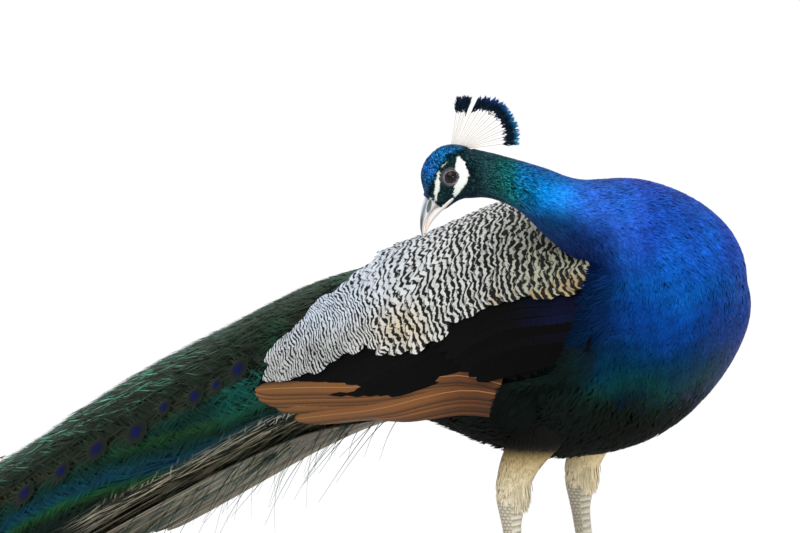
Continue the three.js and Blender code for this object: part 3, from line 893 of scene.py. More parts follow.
@dataclass(frozen=True)
class Nodes:
    """A material's or a group's node tree, with short calls for the nodes used here."""

    tree: bpy.types.NodeTree

    def add(self, kind: str, *values: object, **settings: object) -> bpy.types.Node:
        """A new node, by its type without the leading ShaderNode, with its first inputs fed."""
        node = self.tree.nodes.new("ShaderNode" + kind)
        for name, value in settings.items():
            setattr(node, name, value)
        for socket, value in zip(node.inputs, values):
            self.feed(socket, value)
        return node

    def feed(self, socket: bpy.types.NodeSocket, value: object) -> None:
        """Links an input to a signal, or sets it to a value."""
        if isinstance(value, Signal):
            self.tree.links.new(value.socket, socket)
        else:
            socket.default_value = value

    def out(self, node: bpy.types.Node, output: int | str = 0) -> Signal:
        """One of a node's outputs."""
        return Signal(self, node.outputs[output])

    def math(self, operation: str, *values: object) -> Signal:
        """A Math node on signals or numbers."""
        return self.out(self.add("Math", *values, operation=operation))

    def blend(self, share: object, a: object, b: object, how: str = "MIX") -> Signal:
        """Colour a with b over it by share."""
        node = self.add("Mix", share, data_type="RGBA", blend_type=how, clamp_factor=True)
        self.feed(node.inputs[6], a)
        self.feed(node.inputs[7], b)
        return self.out(node, 2)

    def shaded(self, colour: Signal, light: Signal) -> Signal:
        """A colour times a number."""
        return self.blend(1.0, colour, self.vector(light, light, light), "MULTIPLY")

    def step(self, value: object, low: object, high: object) -> Signal:
        """0 below low and 1 over high, smooth between."""
        return self.out(self.add("MapRange", value, low, high, interpolation_type="SMOOTHSTEP"))

    def wave(self, turns: Signal) -> Signal:
        """The sine of a number of turns."""
        return self.math("SINE", turns * (2 * np.pi))

    def length(self, x: Signal, y: Signal) -> Signal:
        """The square root of x^2 + y^2."""
        return self.math("SQRT", x * x + y * y)

    def parts(self, vector: object) -> list[Signal]:
        """The three numbers of a vector."""
        node = self.add("SeparateXYZ", vector)
        return [self.out(node, k) for k in range(3)]

    def vector(self, *values: object) -> Signal:
        """A vector of three numbers."""
        return self.out(self.add("CombineXYZ", *values))

    def noise(self, vector: object, scale: float = 1.0, detail: float = 2.0) -> Signal:
        """Noise from 0 to 1 at a vector."""
        node = self.add("TexNoise", vector)
        node.inputs["Scale"].default_value = scale
        node.inputs["Detail"].default_value = detail
        return self.out(node, "Fac")

    def attribute(self, name: str, output: str = "Vector") -> Signal:
        """An attribute of the piece's own mesh."""
        return self.out(self.add("Attribute", attribute_name=name), output)


KINDS = {"f": "NodeSocketFloat", "c": "NodeSocketColor", "v": "NodeSocketVector"}


@dataclass(frozen=True)
class Group:
    """A node group under construction, with its inputs as signals by name."""

    nodes: Nodes
    given: dict[str, Signal]
    end: bpy.types.Node

    @classmethod
    def new(cls, name: str, inputs: dict[str, str], outputs: dict[str, str]) -> "Group":
        """Starts a group.

        Args:
            name: Its name.
            inputs: Each input's kind by its name: f, c or v.
            outputs: The same for each output.

        Returns:
            The group, with nothing between its two ends yet.
        """
        tree = bpy.data.node_groups.new(name, "ShaderNodeTree")
        for way, sockets in (("INPUT", inputs), ("OUTPUT", outputs)):
            for label, kind in sockets.items():
                tree.interface.new_socket(label, in_out=way, socket_type=KINDS[kind])
        nodes = Nodes(tree)
        start, end = tree.nodes.new("NodeGroupInput"), tree.nodes.new("NodeGroupOutput")
        return cls(nodes, {label: nodes.out(start, label) for label in inputs}, end)

    def finish(self, *results: Signal) -> bpy.types.NodeTree:
        """Feeds the outputs in order, and gives the tree."""
        for socket, result in zip(self.end.inputs, results):
            self.nodes.feed(socket, result)
        return self.nodes.tree


def barb_group() -> bpy.types.NodeTree:
    """Barbs that slant out from a shaft over a vane, with uneven shades.

    Returns:
        A group. Its wave is sin(2 pi (count t - slant |s| + noise)), where t runs along the
        vane and s across it. The shaft is where |s| is less than its width.
    """
    group = Group.new(
        "Barbs", {"Tint": "c", "Vane": "v", "Count": "f", "Slant": "f", "Contrast": "f",
                  "Shaft": "c", "Shaft Width": "f"}, {"Colour": "c", "Height": "f"})
    nodes, given = group.nodes, group.given
    contrast, width = given["Contrast"], given["Shaft Width"]
    t, s, chance = nodes.parts(given["Vane"])
    aside = nodes.math("ABSOLUTE", s)
    cloud = nodes.noise(nodes.vector(t * 5.0, aside, chance * 31.0), 1.6)
    wave = nodes.wave(t * given["Count"] - aside * given["Slant"] + cloud * 2.4) * 0.5 + 0.5
    light = ((chance + (cloud - 1.0)) * (contrast * 1.6) + 1.0) * (1.0 - (1.0 - wave) * contrast)
    shaft = 1.0 - nodes.step(aside, width * 0.6, width + 0.01)
    shaft = shaft * nodes.math("GREATER_THAN", width, 0.001)
    colour = nodes.blend(shaft, nodes.shaded(given["Tint"], light), given["Shaft"])
    return group.finish(colour, nodes.math("MAXIMUM", wave, shaft))


def bar_group() -> bpy.types.NodeTree:
    """Wavy dark bars over pale feathers.

    Returns:
        A group. The bars' phase is the way along the coat over the pitch, bent by noise and
        by a chevron on each feather, so that they nearly run on from one to the next.
    """
    group = Group.new(
        "Wavy Bars", {"Lie": "v", "Vane": "v", "Pale": "c", "Dark": "c", "Pitch": "f"},
        {"Colour": "c", "Height": "f"})
    nodes, given = group.nodes, group.given
    along, across, share = nodes.parts(given["Lie"])
    t, s, chance = nodes.parts(given["Vane"])
    bend, ripple, broken = (
        nodes.noise(nodes.vector(along * a, across * b, chance * c), 1.0, detail)
        for a, b, c, detail in ((0.022, 0.05, 0.12, 1.0), (0.1, 0.19, 0.9, 2.5),
                                (0.13, 0.13, 2.0, 2.0)))
    phase = nodes.math("DIVIDE", along, given["Pitch"]) + bend * 2.4 + ripple * 1.15
    wave = nodes.wave(phase + chance * 0.42 + s * s * 0.22)
    edge = share * -2.0 + 1.0
    whole = share * -0.72 + 0.64
    dark = nodes.step(wave, edge - 0.34, edge + 0.34)
    dark = dark * nodes.step(broken, whole - 0.06, whole + 0.04)
    dark = dark * (nodes.step(t, 0.86, 0.99) * -0.5 + 1.0)
    return group.finish(nodes.blend(dark, given["Pale"], given["Dark"]), 1.0 - dark)


def spot_group() -> bpy.types.NodeTree:
    """The eye spot at a train feather's end, as rings.

    Returns:
        A group. The rings are by distance from the spot's middle, and a notch in the innermost
        one makes it a heart.
    """
    group = Group.new("Eye Spot", {"Vane": "v", "Rim": "c"}, {"Colour": "c"})
    nodes = group.nodes
    x, y, chance = nodes.parts(group.given["Vane"])
    heart = nodes.length(x + 0.12 + nodes.math("ABSOLUTE", y) * -0.5, y)
    ragged = nodes.noise(nodes.vector(x, y, chance * 17.0), 9.0)
    radius = nodes.length(x, y) + (ragged * 0.08 + -0.04)
    colour = nodes.blend(nodes.step(heart, 0.3, 0.38), opaque(0x0E0C44), opaque(0x0A1230))
    for edge, shade in ((0.46, 0x101A14), (0.58, 0x1E1A10), (0.74, 0x1A1C10), (0.84, 0x18221A),
                        (0.92, 0x16241A)):
        colour = nodes.blend(nodes.step(radius, edge - 0.05, edge + 0.03), colour, opaque(shade))
    return group.finish(nodes.blend(nodes.step(radius, 0.86, 1.0), colour, group.given["Rim"]))


def grain_group() -> bpy.types.NodeTree:
    """Streaks and specks of horn and hide.

    Returns:
        A group. Its shade is noise drawn out along the piece, and its height adds fine specks.
    """
    group = Group.new("Grain", {"Tint": "c", "Vane": "v", "Streaks": "f", "Contrast": "f"},
                      {"Colour": "c", "Height": "f"})
    nodes, given = group.nodes, group.given
    place = nodes.out(nodes.add("TexCoord"), "Object")
    t, a, _ = nodes.parts(given["Vane"])
    streak = nodes.noise(nodes.vector(t * 3.0, a * given["Streaks"], 0.0), 1.0, 3.0)
    worn = streak + (nodes.noise(place, 160.0, 3.0) + -0.5)
    light = (worn - 0.5) * given["Contrast"] + 1.0
    return group.finish(nodes.shaded(given["Tint"], light), nodes.noise(place, 900.0) * 0.4 + streak)


class Pattern(Enum):
    """What a finish draws over its piece's own tint."""

    BARBS = "barbs"
    BARS = "bars"
    SPOT = "spot"
    GRAIN = "grain"


PATTERN_GROUPS = {Pattern.BARBS: barb_group, Pattern.BARS: bar_group, Pattern.SPOT: spot_group,
                  Pattern.GRAIN: grain_group}


@dataclass(frozen=True)
class Finish:
    """A material: a pattern over the piece's tint, and the surface's gloss."""

    name: str
    pattern: Pattern = Pattern.BARBS
    roughness: float = 0.5
    metallic: float = 0.0
    specular: float = 0.5
    specular_tint: int = 0xFFFFFF
    sheen: float = 0.0
    sheen_tint: int = 0xFFFFFF
    sheen_roughness: float = 0.4
    coat: float = 0.0
    coat_roughness: float = 0.1
    count: float = 6.0
    slant: float = 0.6
    contrast: float = 0.3
    shaft: int = 0x000000
    shaft_width: float = 0.0
    relief: float = 0.0002
    depth: float = 0.3

    def inputs(self) -> dict[str, object]:
        """What the pattern's group may ask for, by its inputs' names."""
        return {
            "Count": self.count, "Streaks": self.count, "Pitch": self.count, "Slant": self.slant,
            "Contrast": self.contrast, "Shaft Width": self.shaft_width,
            "Shaft": opaque(self.shaft), "Dark": opaque(self.shaft)}


@cache
def pattern_group(pattern: Pattern) -> bpy.types.NodeTree:
    """A pattern's node group, built once."""
    return PATTERN_GROUPS[pattern]()


@cache
def material(finish: Finish) -> bpy.types.Material:
    """A finish's material, built once.

    Args:
        finish: What to make.

    Returns:
        A material whose pattern feeds Base Color and a Bump.
    """
    made = bpy.data.materials.new(finish.name)
    made.use_nodes = True
    made.use_backface_culling = False
    nodes = Nodes(made.node_tree)
    shader = made.node_tree.nodes["Principled BSDF"]
    for name, value in {
        "Roughness": finish.roughness, "Metallic": finish.metallic,
        "Specular IOR Level": finish.specular, "Specular Tint": opaque(finish.specular_tint),
        "Sheen Weight": finish.sheen, "Sheen Roughness": finish.sheen_roughness,
        "Sheen Tint": opaque(finish.sheen_tint), "Coat Weight": finish.coat,
        "Coat Roughness": finish.coat_roughness,
    }.items():
        shader.inputs[name].default_value = value
    group = nodes.add("Group", node_tree=pattern_group(finish.pattern))
    for socket in group.inputs:
        if socket.name in ("Tint", "Pale", "Rim"):
            value = nodes.attribute("tint", "Color")
        elif socket.name in ("Vane", "Lie"):
            value = nodes.attribute(socket.name.lower())
        else:
            value = finish.inputs()[socket.name]
        nodes.feed(socket, value)
    nodes.feed(shader.inputs["Base Color"], nodes.out(group, "Colour"))
    if "Height" in group.outputs:
        dents = nodes.add("Bump")
        dents.inputs["Strength"].default_value = finish.depth
        dents.inputs["Distance"].default_value = finish.relief
        nodes.feed(dents.inputs["Height"], nodes.out(group, "Height"))
        nodes.feed(shader.inputs["Normal"], nodes.out(dents, "Normal"))
    return made


# ------------------------------------------------------------------ feathers
@dataclass(frozen=True)
class Blade:
    """The outline and section of one kind of feather."""

    steps: int = 3
    across: int = 1
    root: float = 0.4
    widest: float = 0.5
    tip: float = 0.5
    arch: float = 0.12
    crowd: float = 1.0  # over 1 sets the steps closer towards the tip

    def width(self, t: Array) -> Array:
        """Share of the full width along the feather.

        Args:
            t: 0 at the root, 1 at the tip.

        Returns:
            root to 1 up to the widest place, then (1 - q^2)^tip, where q runs to the tip.
        """
        start = self.root + (1 - self.root) * ease(0, self.widest, t)
        q = np.clip((t - self.widest) / (1 - self.widest), 0, 1)
        return start * np.maximum((1 - q * q) ** self.tip, 0.1)

    def grid(self) -> tuple[Array, Array]:
        """t down the rows and s across the columns, ready to spread over many feathers."""
        t = 1 - (1 - np.linspace(0, 1, self.steps + 1)[None, :, None]) ** self.crowd
        s = np.linspace(-1, 1, self.across + 1)[None, None, :]
        return np.broadcast_arrays(t, s)

    def faces(self, count: int) -> Array:
        """Quads of count feathers in a row, turned outwards."""
        one = grid_faces(self.steps + 1, self.across + 1)[:, ::-1]
        points = (self.steps + 1) * (self.across + 1)
        return (one[None] + points * each(np.arange(count))).reshape(-1, 4)


def feather_surface(
    blade: Blade, points: Array, tint: Array, chance: Array, chart: Array, lie: Array | None = None
) -> Surface:
    """Puts many feathers' points into one surface.

    Args:
        blade: Their kind.
        points: (n, along, across, 3).
        tint: Colours, of which each point takes its own or its feather's.
        chance: (n,) a number from 0 to 1 for each feather.
        chart: (n, 2) each root's place on the bake map.
        lie: (n, along, across, 3) places over the coat, for patterns that run on.

    Returns:
        The surface, where each feather's patch on the map is its own small square.
    """
    t, s, own = np.broadcast_arrays(*blade.grid(), each(chance))
    chart = each(chart) + np.stack([s, 2 * t - 1], -1) * (BAKE_PATCH / 2)
    vane = np.stack([t, s, own], -1)
    flat = (-1, 3)
    return Surface(
        points.reshape(flat), blade.faces(len(points)),
        np.broadcast_to(tint, points.shape).reshape(flat), vane.reshape(flat),
        chart.reshape(-1, 2), None if lie is None else lie.reshape(flat))


def blades_from(
    blade: Blade, root: Array, way: Array, length: Array, wide: Array, half: Array | float
) -> Array:
    """Straight feathers' points.

    Args:
        blade: Their kind.
        root: (n, 3) roots.
        way: Unit ways that they point.
        length: Their lengths.
        wide: Unit ways across them.
        half: Half their greatest width.

    Returns:
        (n, along, across, 3) points: root + way length t + wide half width(t) s.
    """
    t, s = blade.grid()
    along = each(way) * (each(length) * t)[..., None]
    return each(root) + along + each(wide) * (half * blade.width(t) * s)[..., None]


@dataclass(frozen=True)
class Coat:
    """How feathers stand over the form: sizes in millimetres, angles in degrees."""

    length: float
    width: float
    lift: float
    blade: Blade
    spread: float = 10.0
    vary: float = 0.2
    bend: float = 0.06


def hugging(
    coat: Coat, rng: Rng, roots: Roots, way: Array, tint: Tinter, scale: Array | float = 1.0,
    lift: Array | float = 1.0, shape: Callable[[Array], Array] = form
) -> Surface:
    """Feathers that lie over the whole form.

    Each point goes along its feather, and then three times along the root's normal, by the
    secant rule, until the form's distance there is the wanted height, which rises from the
    skin to the coat's outside.

    Args:
        coat: Their sizes.
        rng: The source of chance.
        roots: Where they stand, on the skin.
        way: (n, 3) the lie of the coat.
        tint: Their colours.
        scale: Size of each feather over the coat's own.
        lift: Lift of each feather over the coat's own.
        shape: Distance out from what they lie on.

    Returns:
        One surface.
    """
    count = len(roots.place)
    chance = rng.random(count)
    turn = np.radians(coat.spread) * rng.normal(size=count)[:, None]
    normal = roots.normal
    way = unit(way - normal * dot(way, normal)[:, None])
    way = way * np.cos(turn) + np.cross(normal, way) * np.sin(turn)
    beside = np.cross(normal, way)
    size = scale * (1 + coat.vary * (rng.random(count) - 0.5) * 2)
    t, s = coat.blade.grid()
    along = each(coat.length * size) * t
    share = coat.blade.width(t)
    half = each(0.5 * coat.width * size) * share
    bend = each(coat.bend * coat.length * rng.normal(size=count)) * t**2
    points = (each(roots.place) + each(way) * along[..., None]
              + each(beside) * (half * s + bend)[..., None])
    top = each(np.broadcast_to(lift * coat.lift, count)) * (0.5 + each(chance))
    low = each(np.maximum(shape(roots.place), -0.5 * coat.length * size))
    rise = low + (top - low) * (1 - (1 - t) ** 2.2)
    rise = rise + coat.blade.arch * coat.width * share * (1 - s * s)
    slope: Array | float = 1.0
    height = shape(points.reshape(-1, 3)).reshape(rise.shape)
    for _ in range(3):
        step = (rise - height) / slope
        points = points + each(normal) * step[..., None]
        before, height = height, shape(points.reshape(-1, 3)).reshape(rise.shape)
        found = (height - before) / np.where(np.abs(step) < 0.05, np.inf, step)
        slope = np.where(np.abs(step) < 0.05, slope, np.clip(found, 0.5, 6))
    shades = tint(points, np.broadcast_to(t, rise.shape), each(chance))
    return feather_surface(coat.blade, points, shades, chance, roots.chart)


@dataclass
class PanelFeathers:
    """Feathers that lie over a side panel, all on one side.

    x and down are their roots on the panel, and way_x and way_down the unit lie on it.
    """

    panel: SidePanel
    side: float
    x: Array
    down: Array
    way_x: Array
    way_down: Array
    length: Array
    width: Array
    low: Array | float
    high: Array | float
    bend: Array | float = 0.0
    droop: Array | float = 0.0

    def built(
        self, blade: Blade, chance: Array, tint: Tinter,
        lie: Callable[[Array, Array], Array] | None = None
    ) -> Surface:
        """The feathers' surface.

        Args:
            blade: Their kind.
            chance: A number from 0 to 1 for each.
            tint: Their colours.
            lie: Places over the coat from x and down.

        Returns:
            Points at root + way t length + beside s width, on the panel, raised from low at
            the root to high at the tip.
        """
        def spread(values: Array | float) -> Array:
            """A value for each feather, or one for all, ready to go over the grids."""
            return each(np.broadcast_to(values, self.x.shape))

        t, s = blade.grid()
        share = blade.width(t)
        along = spread(self.length) * t
        aside = spread(self.width) * 0.5 * share * s + spread(self.bend) * t**2
        aside = aside * self.side
        x = spread(self.x) + spread(self.way_x) * along - spread(self.way_down) * aside
        down = spread(self.down) + spread(self.way_down) * along + spread(self.way_x) * aside
        down = down + spread(self.droop) * t**2
        points, normals = self.panel.at(x, down, self.side)
        rise = spread(self.low) + (spread(self.high) - spread(self.low)) * t**0.8
        rise = rise + blade.arch * spread(self.width) * share * (1 - s * s)
        points = points + normals * rise[..., None]
        shades = tint(points, np.broadcast_to(t, rise.shape), each(chance))
        chart = self.panel.map_place(self.x, self.down, self.side)
        over = None if lie is None else lie(x, down)
        return feather_surface(blade, points, shades, chance, chart, over)


# ------------------------------------------------------------------ colours of the plumage
@dataclass(frozen=True)
class BareStripe:
    """A patch of bare white skin on the face: a path [x, z, half width] in the head's frame."""

    path: tuple[tuple[float, float, float], ...]

    def share(self, local: Array) -> Array:
        """1 on the patch and 0 off it.

        Args:
            local: (..., 3) points of the head's frame.

        Returns:
            A smooth step over half a millimetre at the patch's ragged edge.
        """
        dense = dense_rows(np.array(self.path), 60)
        x, z = local[..., 0, None], local[..., 2, None]
        away = np.hypot(x - dense[:, 0], z - dense[:, 1]) - dense[:, 2]
        ragged = 0.35 * np.sin(local[..., 0] * 2.9) + 0.3 * np.sin(local[..., 2] * 3.7 + 1)
        return ease(0.4, -0.4, away.min(-1) + ragged)


BARE_STRIPES = (
    BareStripe((
        (-10.4, 14, 0.5), (-6.9, 13.9, 1.6), (-2.5, 14.1, 1.7), (1.8, 13.7, 1.4), (5.9, 12.5, 1.8),
        (10.8, 9.7, 2.5), (14.7, 6, 2.9), (19.2, 3.3, 2.6), (23.8, 0.6, 1.9), (26.4, -1.8, 1.1),
    )),
    BareStripe((
        (-19.4, 7.5, 2.2), (-17.1, 4.5, 4), (-14, 0.5, 5.4), (-12.1, -5, 4.8), (-9, -8.4, 4.5),
        (-4.1, -10.4, 4.6), (1, -11, 4.5), (5.8, -11.4, 4), (9.6, -12.4, 2.9), (11.9, -14, 1.5),
    )),
    BareStripe(((-17, 3, 2), (-19, 0.8, 1.7), (-20.8, -1, 1.2))),
)


def bare_share(local: Array) -> Array:
    """Where the face is bare white skin."""
    return np.max([stripe.share(local) for stripe in BARE_STRIPES], axis=0)


# Neck colours by distance from the head. The bright azure around 93 to 137 mm is partly the neck's own
# hue and partly a painted highlight.
NECK_RAMP = [
    (26, 0x0C2422), (38, 0x14302E), (47, 0x1C3F3E), (57, 0x15463E), (68, 0x0F5A5A),
    (80, 0x0B6A9E), (93, 0x0D84DA), (115, 0x2490F4), (137, 0x3068D0), (161, 0x2656B4),
    (185, 0x2857C0), (209, 0x1849AA), (240, 0x1450B0), (280, 0x1A58C4),
]
BREAST_RAMP = [
    (222, 0x060905), (245, 0x06130C), (258, 0x06221A), (271, 0x07332A), (284, 0x042E38),
    (297, 0x022D4C), (320, 0x063274), (344, 0x063A86), (368, 0x084E9E), (391, 0x07489A),
    (415, 0x0B52AC),
]
FLANK_RAMP = [
    (200, 0x060705), (250, 0x06120E), (271, 0x061A15), (297, 0x061A16), (320, 0x07141B),
    (345, 0x060F1A), (400, 0x071026),
]
# Colours of the painted shadow on the breast's sides under the neck, by height.
PAINTED_SHADOW_RAMP = [
    (297, 0x04201F), (320, 0x06182A), (345, 0x061024), (368, 0x07182F), (391, 0x051038),
    (415, 0x07163E), (439, 0x08264A),
]
CAP_EDGE = ([-30, -26, -12, -2, 14, 28], [9, 10.5, 15.3, 16.1, 11.9, 6])


def body_tint(points: Array) -> Array:
    """The coat's colour by place: the same on the skin and on the feathers.

    Args:
        points: (..., 3) points.

    Returns:
        Linear colours: green-black by the head, azure and cobalt down the neck, the azure partly a
        painted highlight, painted shade along the neck's top edge, violet-blue painted sheen at the
        breast's front, green and then black below, black along the trunk, and a painted shadow on
        the breast's sides under the neck.
    """
    x, y, z = np.moveaxis(points, -1, 0)
    fore = np.linalg.norm(points - HEAD.at, axis=-1)
    sway = 6 * np.sin(x * 0.045 + y * 0.06) + 4 * np.sin(y * 0.11 - z * 0.05)
    neck = ramp(fore + sway * 0.5, NECK_RAMP)
    # Painted sheen: violet-blue at the breast's front, as the iridescence shows it at grazing angles.
    violet = ease(408, 428, x) * ease(330, 365, z)
    neck = wash(neck, 0x3A50C8, violet * 0.6)
    patch = np.sin(0.083 * x + 0.05 * z) * np.sin(0.067 * z - 0.1 * y) * ease(100, 140, fore)
    neck = wash(neck, 0x0A68CC, np.clip(patch, 0, 1) * 0.4)
    neck = wash(neck, 0x163490, np.clip(-patch, 0, 1) * 0.4)
    # Painted shade: darker along the neck's top edge.
    upper = ease(464, 480, z) * ease(60, 80, fore) * ease(175, 150, fore)
    neck = wash(neck, 0x0A5590, upper * 0.75)
    breast = ramp(z + sway, BREAST_RAMP)
    flank = ramp(z + sway, FLANK_RAMP)
    low = mix(flank, breast, ease(282, 322, x + 0.4 * sway - 0.25 * np.abs(y - 4) + 20))
    teal = bump((x - 304 + 0.3 * sway) / 8) * ease(285, 320, z)
    low = wash(low, 0x044A50, np.clip(teal, 0, 1) * 0.35)
    low = wash(low, 0x0D130D, ease(140, 60, x))
    shades = mix(low, neck, ease(366, 414, z + 0.5 * sway) * ease(262, 292, x + 0.6 * (z - 380)))
    # Painted shadow: deep navy on the breast's sides under the neck, back towards the wings.
    shadow = ease(368, 318, x + 0.9 * np.maximum(z - 415, 0)) * ease(464, 434, z)
    shadow = shadow * ease(270, 310, z) * ease(60, 140, x)
    shades = mix(shades, ramp(z + 0.4 * sway, PAINTED_SHADOW_RAMP), shadow * 0.9)
    cloud = np.sin(0.21 * z + 0.13 * y + 2 * np.sin(0.07 * x)) * np.sin(0.19 * y - 0.12 * z + 0.1 * x)
    return shades * (1 + 0.2 * cloud * ease(100, 150, fore))[..., None]


def head_tint(points: Array, local: Array) -> Array:
    """The head's colour by place.

    Args:
        points: (..., 3) points of the bird's frame.
        local: The same points in the head's.

    Returns:
        Linear colours: a glossy blue cap, darker towards the bill, over green-black sides, and
        the body's own colour behind.
    """
    x, _, z = np.moveaxis(local, -1, 0)
    over = z - np.interp(x, *CAP_EDGE)
    shade = ramp(over, [(-3, 0x0B2018), (0, 0x0A2C30), (2, 0x0B4A70), (6, 0x10609A)])
    shade = wash(shade, 0x2A50B8, bump((x - 8) / 7) * ease(1, 4, over) * 0.4)
    shade = wash(shade, 0x0C4A58, ease(-20, -30, x) * ease(-1, 2, over) * 0.6)
    shade = wash(shade, 0x082A38, ease(8, 24, x) * ease(-1, 2, over) * 0.75)
    dark = bump((x + 20) / 9, (z + 7) / 14)
    shade = wash(shade, 0x060909, np.clip(dark, 0, 1) * 0.9)
    fore = np.linalg.norm(local, axis=-1)
    return mix(shade, body_tint(points), ease(27, 42, fore) * ease(-4, -20, x))


def coat_tint(points: Array) -> Array:
    """Head and body colours together."""
    local = HEAD.local(points)
    near = np.linalg.norm(local, axis=-1) < 60
    shades = body_tint(points)
    if near.any():
        shades[near] = head_tint(points[near], local[near])
    return shades


def stroke_tint(points: Array, t: Array, chance: Array) -> Array:
    """A feather's colour: its root's shade, darker at the root, with some strokes brighter as painted
    glints.

    Args:
        points: (n, along, across, 3) points.
        t: The way along each feather.
        chance: Each feather's own number.

    Returns:
        Colours for each point: even on the breast, and flecked, with many painted glints, on the
            crinkled upper neck.
    """
    fore = np.linalg.norm(points - HEAD.at, axis=-1)
    crinkle = ease(110, 60, fore)
    light = 0.9 - 0.48 * crinkle + (0.16 + 0.5 * crinkle) * t
    light = light + (0.18 + 1.7 * crinkle) * (chance - 0.5)
    # Painted glints: a few strokes brighter towards their tips, most on the crinkled upper neck.
    bright = 1 + 0.2 * (chance > 0.9) * t + 1.4 * crinkle * (chance > 0.85) * t**2
    return coat_tint(points) * (np.maximum(light, 0.08) * bright)[..., None]


def scale_tint(points: Array, t: Array, chance: Array) -> Array:
    """A crown feather's colour: dark at its root, bright at its curled tip, and much brighter at a few
    tips as painted glints.
    """
    # The few feathers with a high chance are far brighter at the tip: painted glints.
    light = (0.03 + 1.5 * t**4) * (0.08 + 3.2 * chance**4)
    return coat_tint(points) * light[..., None]


def face_tint(points: Array, t: Array, chance: Array) -> Array:
    """A face feather's colour: green-black, with a few pale tips as painted glints."""
    shades = coat_tint(points) * (0.5 + 0.5 * t + 0.5 * chance)[..., None]
    # Painted glints: pale tips on a few feathers.
    return wash(shades, 0x4A7A78, (chance > 0.86) * t**2 * 0.55)


# ------------------------------------------------------------------ skin and its short coat
PLUMAGE = Finish(
    "Body plumage", roughness=0.44, metallic=0.25, specular=0.3, specular_tint=0x3F90FF,
    sheen=0.18, sheen_tint=0x4438FF, sheen_roughness=0.35, count=3, slant=0.4, contrast=0.1,
    relief=0.0003, depth=0.3)
DARK_PLUMAGE = Finish(
    "Dark downy plumage", roughness=0.72, specular=0.08, sheen=0.04, sheen_tint=0x1E5A50,
    count=4, contrast=0.15, relief=0.0003, depth=0.3)
HEAD_PLUMAGE = Finish(
    "Glossy head scales", roughness=0.34, metallic=0.3, specular=0.3, specular_tint=0x6CC0FF,
    sheen=0.1, sheen_tint=0x2A66FF, count=3, slant=0.3, contrast=0.3, relief=0.0002)
BARE_SKIN = Finish("Bare skin", Pattern.GRAIN, roughness=0.55, count=4, contrast=0.12)
BUFF_PLUMAGE = Finish(
    "Buff plumage", roughness=0.75, specular=0.12, sheen=0.03, sheen_tint=0xFFF0D0,
    count=3, contrast=0.16)


